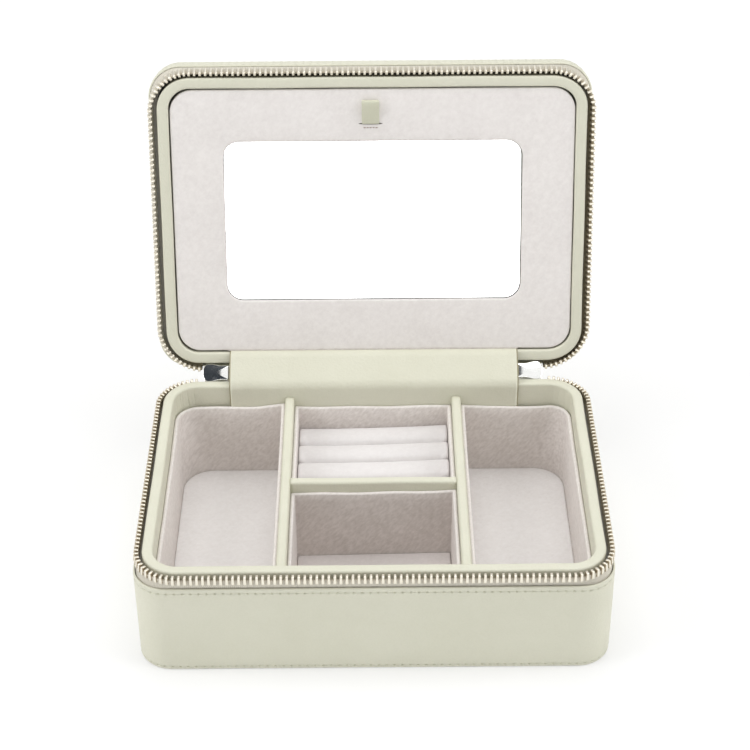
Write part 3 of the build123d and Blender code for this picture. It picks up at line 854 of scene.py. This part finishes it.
def rounded_loop(x_low, x_high, y_low, y_high, radii):
    """Rectangle with its own radius at each corner, listed from the low corner round against the clock; every
    side and every corner has the same number of points whatever the sizes are."""
    centres = [(x_low, y_low, 1, 1, pi), (x_high, y_low, -1, 1, 1.5 * pi)]
    centres += [(x_high, y_high, -1, -1, 0), (x_low, y_high, 1, -1, 0.5 * pi)]
    turn = np.linspace(0, pi / 2, 12)
    arcs = []
    for (x, y, to_x, to_y, start), radius in zip(centres, radii):
        arc_x = x + to_x * radius + radius * np.cos(start + turn)
        arc_y = y + to_y * radius + radius * np.sin(start + turn)
        arcs.append(np.stack([arc_x, arc_y], axis=-1))
    share = np.linspace(0, 1, 26)[1:-1, None]
    sides = [arcs[i][-1] * (1 - share) + arcs[(i + 1) % 4][0] * share for i in range(4)]
    return np.concatenate([part for pair in zip(arcs, sides) for part in pair])


def box_plan(node_name):
    """Plan limits and heights of a node's box."""
    low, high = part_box(node_name)
    return (low.x / mm, high.x / mm, low.y / mm, high.y / mm), low.z / mm, high.z / mm


def shrunk(plan, inset):
    """Plan limits drawn in by inset on every side."""
    return plan[0] + inset, plan[1] - inset, plan[2] + inset, plan[3] - inset


def liner_skin(node_name, radii, lift, tilt, rise):
    """Open box in rings: up the outside, over a rounded edge, down the inside, where the walls lean in and
    the corners widen, and across the floor. The top edge wanders in a wave, climbs to the right by tilt and
    to the back by rise, and goes up at the corners by the two lifts, for the left and the right end. Gives
    the skin and its rim mark."""
    plan, low, high = box_plan(node_name)
    radii = np.array(radii, float)
    leaf = high - 0.7
    floor = low + 0.8
    inside = np.linspace(0, 1, 9)
    lean = liner_wall + 0.15 * inside
    heights = [low, leaf - liner_loose, leaf, high - 0.2, high, high - 0.2]
    insets = [0.05, 0.05, 0.05, 0.3, 0.9, 1.5]
    widen = [0.0] * len(heights)
    rim = [0.0] * 3 + [pale_rim] * 3
    heights += list(leaf + (floor + 0.7 - leaf) * inside) + [floor + 0.2, floor, floor]
    insets += list(lean) + [liner_wall + 0.4, liner_wall + 1.1, liner_wall + 8]
    widen += list(inside) + [1.0, 1.0, 1.0]
    rim += [0.0] * (len(heights) - len(rim))
    rings = []
    for inset, height, wide in zip(insets, heights, widen):
        reach = np.maximum(radii + np.where(radii > 3, 4.5, 1.0) * wide - inset, 0.25)
        rings.append(at_height(rounded_loop(*shrunk(plan, inset), reach), height))
    rows = np.stack(rings)
    centre = np.array([(plan[0] + plan[1]) / 2, (plan[2] + plan[3]) / 2])
    share = (rows[..., :2] - centre) / (np.array([plan[1] - plan[0], plan[3] - plan[2]]) / 2)
    corner = np.clip(np.abs(share).min(axis=-1) - 0.5, 0, 1) * np.where(share[..., 0] > 0, lift[1], lift[0])
    wave = 0.2 * np.sin(rows[..., 0] / 5.1 + rows[..., 1] / 6.3) + corner + tilt * share[..., 0] - 0.2
    wave += rise * np.clip(share[..., 1], 0, 1) ** 2
    rows[..., 2] += wave * np.clip((rows[..., 2] - (leaf - liner_loose)) / liner_loose, 0, 1)
    return skin(rows), np.repeat(rim, rows.shape[1])


collar_corner = corner_radius - collar_inset - collar_thickness
liner_forms = {
    "left": ((collar_corner, 0.6, 0.6, collar_corner), (1.0, 2.8), 0.1, 1.4),
    "right": ((0.6, collar_corner, collar_corner, 0.6), (2.4, 1.8), 0.0, 0.4),
    "front": ((0.6, 0.6, 0.6, 0.6), (0.5, 0.8), 0.45, 0.0),
    "ring": ((0.6, 0.6, 0.6, 0.6), (0.5, 0.8), 0.1, 1.1),
}
for name, form in liner_forms.items():
    box_skin, rim = liner_skin(f"liner_{name}", *form)
    finish = shaded_wall_suede if name == "front" else pink_grey_suede
    liner = piece(f"liner_{name}_suede", [box_skin], finish, "base", f"liner_{name}")
    mark(liner, "rim", rim)

# Floor pads
# Loose card covered in the same suede over a thin foam, lying on the floor of each open compartment, with its
# cover turned under at the edges. Its colour is painted paler than on the walls, for the light that falls on
# the floors from above, and darker on the front pad, for the shade of the smaller front compartment.
# Painted light: a paler copy of the suede for the floors. Painted shade: a darker one for the front pad.
lit_floor_suede = suede("lit_floor_suede", (233, 230, 228), (247, 245, 244), 0.3)
shaded_floor_suede = suede("shaded_floor_suede", (217, 211, 208), (232, 226, 224), 0.3)


def pad_skin(node_name, radii, crown, tilt):
    """Crowned pad in rings: a flat foot, rounded rims and a top that rises as 1 - (1 - share)^2 to the
    middle. The pad lies a little askew, its right end higher by tilt."""
    plan, low, high = box_plan(node_name)
    inset = np.array([0.6, 0.15, 0.0, 0.02, 0.2, 0.6])
    height = np.array([low, low, low + 0.3, high - 0.45, high - 0.12, high])
    rings = [rounded_loop(*shrunk(plan, i), np.maximum(np.array(radii) - i, 0.3)) for i in inset]
    share = np.array([0.06, 0.14, 0.26, 0.42, 0.62, 0.84])
    centre = np.array([(plan[0] + plan[1]) / 2, (plan[2] + plan[3]) / 2])
    rings += [centre + (1 - part) * (rings[-1] - centre) for part in share]
    height = np.concatenate([height, high + crown * (1 - (1 - share) ** 2)])
    rows = np.stack(rings)
    askew = tilt * (rows[..., 0] - centre[0]) / (plan[1] - plan[0])
    return skin(np.concatenate([rows, (height[:, None] + askew + tilt / 2)[..., None]], axis=-1))


pad_forms = {
    "left": ((14.0, 1.2, 1.2, 14.0), 0.35, 0.0),
    "right": ((1.2, 14.0, 14.0, 1.2), 0.35, 0.0),
    "front": ((1.2, 1.2, 1.2, 1.2), 0.25, 1.2),
}
for name, form in pad_forms.items():
    cover = [pad_skin(f"floor_pad_{name}", *form)]
    finish = shaded_floor_suede if name == "front" else lit_floor_suede
    pad = piece(f"floor_pad_{name}_suede", cover, finish, "base", f"floor_pad_{name}")

# Ring rolls
# Four foam rolls, each in its own suede cover, pressed side by side into the back compartment, so that a ring
# is held between two of them. The covers are tucked down a little at their very ends.
roll_suede = suede("roll_suede", (217, 213, 212), (227, 224, 223), 0.15)
roll_rise = 4.6
roll_climb = 0.9
roll_pressure = 4.0
roll_swell = 0.35
cloth_scale = 10
cloth_frames = 20


def swell(obj, pressure, most):
    """Blows a padded piece up like a sewn cover: cloth with inner pressure and no gravity, simulated at a
    larger scale for a few frames. No point moves more than most mm from its start."""
    mesh = obj.data
    start = np.empty(3 * len(mesh.vertices))
    mesh.vertices.foreach_get("co", start)
    mesh.vertices.foreach_set("co", cloth_scale * start)
    cloth = obj.modifiers.new("swell", "CLOTH")
    cloth.settings.use_pressure = True
    cloth.settings.uniform_pressure_force = pressure
    cloth.settings.effector_weights.gravity = 0
    for number in range(1, cloth_frames + 1):
        bpy.context.scene.frame_set(number)
    moved = np.empty_like(start)
    shown = obj.evaluated_get(bpy.context.evaluated_depsgraph_get())
    shown.data.vertices.foreach_get("co", moved)
    obj.modifiers.remove(cloth)
    bpy.context.scene.frame_set(1)
    step = (moved / cloth_scale - start).reshape(-1, 3)
    length = np.linalg.norm(step, axis=1, keepdims=True)
    step = step * np.minimum(1, most * mm / np.maximum(length, 1e-9))
    mesh.vertices.foreach_set("co", start + step.ravel())
    mesh.update()


def roll_skin(node_name, sunk):
    """Roll along x: the top of each section is a superellipse over upright sides, its crown pushed to the
    front by a parabola. The ends are tucked down and puckered, and the whole roll, pressed down by sunk mm,
    climbs a little to the right."""
    plan, low, high = box_plan(node_name)
    middle = (plan[2] + plan[3]) / 2
    half = (plan[3] - plan[2]) / 2
    spring = high - roll_rise
    turn = np.linspace(0, pi, 29)
    crown_y = np.sign(np.cos(turn)) * np.abs(np.cos(turn)) ** 0.85
    crown_y = half * (crown_y - 0.3 * (1 - crown_y**2))
    crown_z = roll_rise * np.abs(np.sin(turn)) ** 0.8
    side = np.linspace(0, 1, 12)[1:]
    y = np.concatenate([crown_y, -half + 0 * side, half + 0 * side])
    z = np.concatenate([spring + crown_z, spring + (low - spring) * side])
    z = np.concatenate([z, low + (spring - low) * (side - side[0])])
    run = np.linspace(-1, 1, 70)
    run = np.sign(run) * (1 - (1 - np.abs(run)) ** 1.5)
    near_end = np.clip((np.abs(run) - 0.975) / 0.025, 0, 1)
    draw = (0.2 * near_end**2.5)[:, None]
    x = (plan[0] + plan[1]) / 2 + run * ((plan[1] - plan[0]) / 2 + 0.25)
    pucker = 0.06 * np.sin(9 * y) * near_end[:, None]
    tucked = z - draw * 2.6 * (z - low) / (high - low)
    tucked += pucker + (roll_climb * run[:, None] - sunk) * (z - low) / (high - low)
    return skin(np.stack([x[:, None] + 0 * y, middle + y * (1 - draw * 0.35), tucked], axis=-1))


for number in range(1, 5):
    cover = [roll_skin(f"ring_roll_{number}", 1.75 - 0.45 * number)]
    roll = piece(f"ring_roll_{number}_suede", cover, roll_suede, "base", f"ring_roll_{number}")
    swell(roll, roll_pressure, roll_swell)

# Hinge flap and spine
# The lid hangs on leather alone. A wide flap inside runs from the tray's back wall over the base collar and
# in behind the mirror panel, and a spine outside is glued to both back walls. Both fold at the hinge line.
flap_low, flap_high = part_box("hinge_flap")
flap_half = flap_high.x / mm - 0.6
flap = 1.2
flap_step = 0.5
flap_right = 0.5
spine_low, spine_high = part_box("hinge_spine")
spine_half = spine_high.x / mm
spine_step = 0.4
inner_y = half_depth - collar_inset - collar_thickness
wide_steps = 181
edge_steps = 7


def opened(y, z):
    """Side view of a point of the shut lid once the lid stands open."""
    return swing(np.array([0.0, y, z]))[1:]


def even(line, step):
    """A line of points taken again at even steps of its length."""
    length = run_along(line)
    spots = np.linspace(0, length[-1], int(length[-1] / step) + 1)
    return np.stack([np.interp(spots, length, line[:, axis]) for axis in range(line.shape[1])], axis=-1)


def bent_line(points, reach, step):
    """Open line through points, its inner corners eased as parabolas and its steps made even."""
    points = np.asarray(points, float)
    bends = eased(points, reach, 12).reshape(len(points), 12, 2)
    return even(np.concatenate([points[:1], bends[1:-1].reshape(-1, 2), points[-1:]]), step)


def strip_skin(line, half_wide, thickness, sag, crinkle):
    """Leather strip whose side view follows a line: a flat section with rounded edges, half_wide each way in
    x, carried along it. At each station sag lifts it along the normal in slow waves, and crinkle in fine
    ones, products of sines across and along the strip."""
    ahead = unit(np.gradient(line, axis=0))
    normal = np.stack([-ahead[:, 1], ahead[:, 0]], axis=-1)
    turn = np.linspace(-pi / 2, pi / 2, edge_steps)
    half = thickness / 2
    x = np.linspace(-half_wide + half, half_wide - half, wide_steps)
    across = np.concatenate([x, x[-1] + half * np.cos(turn), x[::-1], x[0] - half * np.cos(turn)])
    lift = np.concatenate([0 * x - half, half * np.sin(turn), 0 * x + half, -half * np.sin(turn)])
    wave = np.sin(across / 11.0) * 0.6 + np.sin(across / 4.7 + 1.0) * 0.4
    step = np.arange(len(line))[:, None]
    fine = np.sin(1.7 * across + 0.9 * step) * np.sin(0.61 * across - 0.5 * step + 2)
    fine += 0.6 * np.sin(2.9 * across - 1.3 * step)
    away = lift + sag[:, None] * wave + crinkle[:, None] * fine
    rows = np.zeros((len(line), len(across), 3))
    rows[..., 0] = across
    rows[..., 1:] = line[:, None] + away[..., None] * normal[:, None]
    return skin(rows)


flap_y = inner_y - 0.05 - flap / 2
fold_rise = 0.55
flap_points = [(flap_y, flap_low.z / mm), (flap_y, parting + fold_rise)]
flap_points += [opened(flap_y, parting - fold_rise), opened(flap_y, parting + 8.0)]
flap_line = bent_line(flap_points, 2.6, flap_step)
flap_run = np.arange(len(flap_line)) * flap_step
flap_sag = 0.14 * hill(flap_run - 42, 7.0)
flap_crinkle = 0.035 * hill(flap_run - 37, 3.0) + 0.03 * hill(flap_run - 53, 4.0) + 0.008
flap_shape = strip_skin(flap_line, flap_half, flap, flap_sag, flap_crinkle)
flap_shape[0][:, 0] += flap_right
flap_obj = piece("hinge_flap_leather", [flap_shape], sage_leather, None, "hinge_flap")
# The flap's side edges get the cut mark, which paints a dark line of shade where the flap stands off the
# wall.
edge_shade_marks = np.repeat([0.0, 1.0, 0.0, 1.0], [wide_steps, edge_steps, wide_steps, edge_steps])
mark(flap_obj, "cut", np.tile(edge_shade_marks, len(flap_line)))
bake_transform(flap_obj)

back = half_depth + 0.05 + leather / 2
spine_fold = parting + (hinge_y - back) / cos(slider_tilt) * sin(slider_tilt)
spine_points = [(back, spine_low.z / mm), (back, spine_fold), opened(back, parting + 15.0)]
spine_line = bent_line(spine_points, 1.0, spine_step)
smooth = np.full(len(spine_line), 0.006)
spine_shape = strip_skin(spine_line, spine_half, leather, smooth, smooth)
spine_obj = piece("hinge_spine_leather", [spine_shape], sage_leather, None, "hinge_spine")
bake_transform(spine_obj)

# Lid shell
# Built like the base but shallower: a stitched leather wrap round board walls, a leather top glued inside its
# turned edge, and a leather-covered collar that meets the base collar when the lid is shut.
lid_depth = 17.0
lid_board = 1.6
lid_top = parting + lid_depth
lid_edge = 2 * parting - base_edge
lid_foot = lid_top - base_foot
sole = sole_high.z / mm
lid_board_low = lid_top - sole - lid_board
piece("lid_wrap_leather", [swung(wrap_skin(lid_edge, lid_foot))], sage_leather, "lid", "lid_wrap")
piece("lid_stitching", [swung(row) for row in wrap_threads(lid_edge, lid_foot)], sage_thread, "lid")
lid_panel = swung(plate_skin(sole_inset, lid_top - sole, lid_top, 0.5, wrap_tight))
piece("lid_top_leather", [lid_panel], sage_leather, "lid", "lid_top_panel")
lid_collar_thickness = 5.2
lid_slides = [((-1, 0), (0.5, 0.4)), ((0, -1), (1.25, 0.8)), ((1, 0), (-0.95, -1.2))]
lid_collar = swung(collar_skin(2 * parting - collar_rim, lid_board_low, lid_collar_thickness, lid_slides))
piece("lid_collar_leather", [lid_collar], sage_leather, "lid", "lid_collar")
lining_inset = collar_inset + lid_collar_thickness + 0.05
lining = swung(plate_skin(lining_inset, lid_board_low - 0.8, lid_board_low, 0.2, 0.0))
piece("lid_lining_suede", [lining], pink_grey_suede, "lid", "lid_lining")

# Mirror panel
# A board covered in padded suede, with a window cut through it for the mirror and the cover turned over the
# window's edge. It swings down on a tape along its lower edge to open the pocket behind.
panel_front = parting + 1.1
panel_thickness = 3.6
panel_half_x = half_width - collar_inset - lid_collar_thickness - 0.5
panel_half_y = half_depth - collar_inset - lid_collar_thickness - 0.75
panel_corner = collar_corner - 0.5
window_half_x = 67.75
window_half_y = 37.2
window_corner = 7.5
window_x = 0.9
bevel = 1.5
bevel_depth = 0.55
panel_edge = 0.8
panel_swell = 0.22
rebate = 3.2
lip = 0.8
relief_y = inner_y - 1.4

panel_suede = suede("panel_suede", (224, 219, 216), (239, 235, 232), 0.15)


def window_loop():
    """Outline of the window, a little to the right of the panel's middle."""
    sides = (window_x - window_half_x, window_x + window_half_x, -window_half_y, window_half_y)
    return rounded_loop(*sides, [window_corner] * 4)


def panel_skin():
    """Frame between the window and the outline, ring by ring: points slide straight from one loop to the
    other, and the front swells by a sine between rounded edges. The hinge edge steps back over the flap's
    width."""
    window = window_loop()
    sides = (0.5 - panel_half_x, panel_half_x + 1.3, 0.7 - panel_half_y, panel_half_y)
    outer = rounded_loop(*sides, [panel_corner] * 4)
    step = smooth_step(np.clip((76.5 - np.abs(outer[:, 0])) / 8.0, 0, 1)) * (outer[:, 1] > 0)
    outer[:, 1] = np.minimum(outer[:, 1], panel_half_y - step * (panel_half_y - relief_y))
    hollow_x = window_half_x + rebate
    hollow_y = window_half_y + rebate
    hollow = rounded_loop(-hollow_x, hollow_x, -hollow_y, hollow_y, [window_corner + rebate] * 4)
    turn = np.linspace(0, pi / 2, 6)
    share = np.linspace(0, 1, 22)[1:-1]
    rings = [at_height(window, panel_front + lip)]
    for angle in turn:
        ring = drawn_in(window, -bevel * (1 - cos(angle)))
        rings.append(at_height(ring, panel_front + bevel_depth * (1 - sin(angle))))
    inner_ring = drawn_in(window, -bevel)
    outer_ring = drawn_in(outer, panel_edge)
    for part in share:
        ring = inner_ring * (1 - part) + outer_ring * part
        rings.append(at_height(ring, panel_front - panel_swell * sin(pi * part) ** 0.7))
    for angle in turn:
        ring = drawn_in(outer, panel_edge * (1 - sin(angle)))
        rings.append(at_height(ring, panel_front + panel_edge * (1 - cos(angle))))
    for loop, height in ((outer, panel_thickness), (hollow, panel_thickness), (hollow, lip)):
        rings.append(at_height(loop, panel_front + height))
    return skin(np.stack(rings), joined=True)


piece("mirror_panel_suede", [swung(panel_skin())], panel_suede, "mirror_flap", "mirror_panel")
dress("panel_hinge_tape", pink_grey_suede)

polished = {"Metallic": 1.0, "Roughness": 0.01}
silver_tones = ((252, 253, 252), (255, 255, 255))
dress("mirror", mottled("mirror_silver", "mirror_glass", polished, 6.0, 2.0, *silver_tones))
# The band's dark tones are the dark edge of the silvering and painted shade of the gap under the window's
# edge.
edge_tones = ((84, 84, 80), (124, 124, 119))
silver_edge_and_shade = mottled("silver_edge_and_shade", "mirror_glass", {"Roughness": 0.6}, 90.0, 3.0, *edge_tones)


def silver_edge_and_shade_skin():
    """Thin band on the glass along the window, where the silvering ends, as a flat ring with four edges. Its
    dark tone also paints the shade in the gap under the window's edge. It is widest to the right and below."""
    glass = panel_front + lip
    hidden = drawn_in(window_loop(), -0.2)
    shown = drawn_in(window_loop(), 0.4) - (0.16, 0.16)
    rings = [(hidden, 0.02), (shown, 0.02), (shown, 0.06), (hidden, 0.06)]
    return skin(np.stack([at_height(loop, glass - fore) for loop, fore in rings]), joined=True)


piece("mirror_silver_edge_and_shade", [swung(silver_edge_and_shade_skin())], silver_edge_and_shade, "mirror_flap")

# Pull tab
# A short strip of the case leather folded double, its fold upwards and its ends pushed through a slit in the
# panel and sewn down behind with a line of small stitches.
tab_half = 3.9
tab_free_y = -inner_y - collar_thickness + 11.3
tab_root_y = tab_free_y + 11.1
tab_front = panel_front - 0.1 - 1.5
tab_stitches = 5


def tab_skin():
    """Side view of the doubled strip, which stands off the panel from its root to a fat round fold at the
    free end, carried across its width with eased side edges."""
    corners = [(tab_free_y, tab_front - 2.3), (tab_free_y, tab_front + 0.9), (tab_root_y, tab_front + 1.55)]
    corners += [(tab_root_y, tab_front + 0.9), (tab_root_y - 3.0, tab_front + 0.1)]
    loop = eased(corners, [4.8, 1.0, 0.1, 0.3, 1.5], 10)
    loop = even(np.concatenate([loop, loop[:1]]), 0.3)[:-1]
    rows = slab(loop, -tab_half, tab_half, 0.4)
    return skin(rows[..., [2, 0, 1]])


# A darker copy of the case leather: painted shade for the tab's face, which turns down out of the light.
shaded_tab_leather = calf("shaded_tab_leather", (198, 198, 176), (208, 208, 188))
piece("pull_tab_leather", [swung(tab_skin())], shaded_tab_leather, "tab", "pull_tab")

# The slit is a thin dark slab on the panel's face: painted shadow for the dark inside of the cut.
matt = {"Roughness": 1.0, "Specular IOR Level": 0.0}
slit_tones = ((58, 54, 46), (84, 79, 68))
slit_shadow = mottled("slit_shadow", "suede_lining", matt, 900.0, 2.0, *slit_tones)
slit_half = tab_half + 1.5
slit_run = np.linspace(0, 2 * pi, 40, endpoint=False)
slit_loop = np.stack([slit_half * np.cos(slit_run), tab_root_y - 0.15 + 0.4 * np.sin(slit_run)], axis=-1)
slit_front = panel_front - 0.24
slit_shape = skin(slab(slit_loop, slit_front, slit_front + 0.4, 0.05))
piece("tab_slit", [swung(slit_shape)], slit_shadow, "mirror_flap")
soft_thread = {"Roughness": 0.7, "Sheen Weight": 0.2}
brown_tones = ((112, 88, 72), (146, 122, 104))
brown_thread = mottled("brown_thread", "suede_lining", soft_thread, 2600.0, 2.0, *brown_tones)
stitch_x = np.linspace(-1, 1, tab_stitches) * (tab_half - 1.2)
stitch_row = np.broadcast_to([tab_root_y + 1.7, panel_front - 0.2], (tab_stitches, 2))
tab_stitch = np.concatenate([stitch_x[:, None], stitch_row], axis=1)
across = np.tile([1.0, 0.0, 0.0], (tab_stitches, 1))
forward = np.tile([0.0, 0.0, -1.0], (tab_stitches, 1))
piece("tab_stitching", [swung(thread_skin(tab_stitch, across, forward, 1.3))], brown_thread, "mirror_flap")

# Studio
# Pale floor and surround, soft light from panels overhead, behind, in front and at both sides, a dark card
# that shows in reflections only, and a camera at the angle of the photograph. The floor shows white to the
# camera but keeps the case's shadow.
scene = bpy.context.scene
scene.view_settings.view_transform = "Standard"
floor_mesh = bpy.data.meshes.new("floor")
floor_mesh.from_pydata([(-4, -4, 0), (4, -4, 0), (4, 4, 0), (-4, 4, 0)], [], [(0, 1, 2, 3)])
floor = bpy.data.objects.new("floor", floor_mesh)
scene.collection.objects.link(floor)
white = (1.0, 1.0, 1.0, 1.0)


def bare_tree(owner):
    """Emptied node tree of a material or a world."""
    owner.use_nodes = True
    owner.node_tree.nodes.clear()
    return owner.node_tree


def seen_rays(tree):
    """Whether a ray comes from the camera, and whether it is one that shows the floor or the surround: from
    the camera, from a reflection or through glass."""
    rays = node(tree, "ShaderNodeLightPath").outputs
    shown = maths(tree, "MAXIMUM", rays["Is Camera Ray"], rays["Is Glossy Ray"])
    return rays["Is Camera Ray"], maths(tree, "MAXIMUM", shown, rays["Is Transmission Ray"])


white_floor = bpy.data.materials.new("white_floor")
tree = bare_tree(white_floor)
seen = seen_rays(tree)[1]
floor_paint = node(tree, "ShaderNodeBsdfDiffuse", {"Color": (0.9, 0.9, 0.9, 1.0)})
glow = node(tree, "ShaderNodeEmission", {"Color": white, "Strength": 1.1})
spot = node(tree, "ShaderNodeTexCoord").outputs["Object"]
away = node(tree, "ShaderNodeVectorMath", {0: spot}, operation="LENGTH").outputs["Value"]
part = maths(tree, "MULTIPLY", seen, ranged(tree, away, 0.3, 0.95, 0.25, 0.8))
mixed = node(tree, "ShaderNodeMixShader", {0: part, 1: floor_paint.outputs[0], 2: glow.outputs[0]})
node(tree, "ShaderNodeOutputMaterial", {"Surface": mixed.outputs[0]})
floor_mesh.materials.append(white_floor)

scene.world = bpy.data.worlds.new("studio")
tree = bare_tree(scene.world)
from_camera, seen = seen_rays(tree)
way = node(tree, "ShaderNodeSeparateXYZ", {0: node(tree, "ShaderNodeTexCoord").outputs["Generated"]}).outputs
behind = ranged(tree, way[1], 1.0, 0.35, 0.1, 0.6)
mirrored = node(tree, "ShaderNodeMix", {0: from_camera, 2: behind, 3: 1.0}).outputs[0]
lit = ranged(tree, way[2], 0.36, 0.61)
level = node(tree, "ShaderNodeMix", {0: seen, 2: lit, 3: mirrored}).outputs[0]
sky = node(tree, "ShaderNodeBackground", {"Color": white, "Strength": level})
node(tree, "ShaderNodeOutputWorld", {"Surface": sky.outputs[0]})


def soft_panel(name, spot, aim, size, power):
    """Square lamp turned to face a point."""
    lamp = bpy.data.lights.new(name, "AREA")
    lamp.size = size
    lamp.energy = power
    obj = bpy.data.objects.new(name, lamp)
    scene.collection.objects.link(obj)
    obj.location = spot
    way = obj.location.copy()
    way.x, way.y, way.z = (aim[axis] - spot[axis] for axis in range(3))
    obj.rotation_euler = way.to_track_quat("-Z", "Y").to_euler()


soft_panel("overhead", (0.0, 0.25, 1.5), (0, 0.03, 0.05), 1.1, 7.3)
soft_panel("back", (0.0, 1.6, 0.7), (0, 0.1, 0.08), 0.9, 1.6)
soft_panel("front", (0.0, -1.6, 0.12), (0, -0.07, 0.05), 0.4, 2.5)
soft_panel("left", (-1.2, -0.2, 0.9), (0, 0.03, 0.06), 0.9, 8.5)
soft_panel("right", (1.2, -0.2, 0.9), (0, 0.03, 0.06), 0.9, 8.0)

card_corners = [(-0.9, -1.3, 1), (-0.03, -1.3, 1), (-0.03, 0.2, 1), (-0.9, 0.2, 1)]
dark_card = bpy.data.meshes.new("dark_card")
dark_card.from_pydata(card_corners, [], [(0, 1, 2, 3)])
card = bpy.data.objects.new("dark_card", dark_card)
scene.collection.objects.link(card)
card.visible_camera = False
card.visible_diffuse = False
card.visible_shadow = False
black_felt = bpy.data.materials.new("black_felt")
black_felt.use_nodes = True
felt = black_felt.node_tree.nodes["Principled BSDF"].inputs
felt["Base Color"].default_value = srgb(38, 44, 52)
felt["Roughness"].default_value = 1.0
dark_card.materials.append(black_felt)

look_down = 35.36
look_right = 0.47
camera = bpy.data.cameras.new("camera")
camera.lens = 90.29
camera.sensor_width = 36.0
camera_obj = bpy.data.objects.new("camera", camera)
scene.collection.objects.link(camera_obj)
camera_obj.location = (0.00106, -0.6471, 0.5606)
camera_obj.rotation_mode = "ZYX"
camera_obj.rotation_euler = (radians(90 - look_down), 0, radians(-look_right))
scene.camera = camera_obj
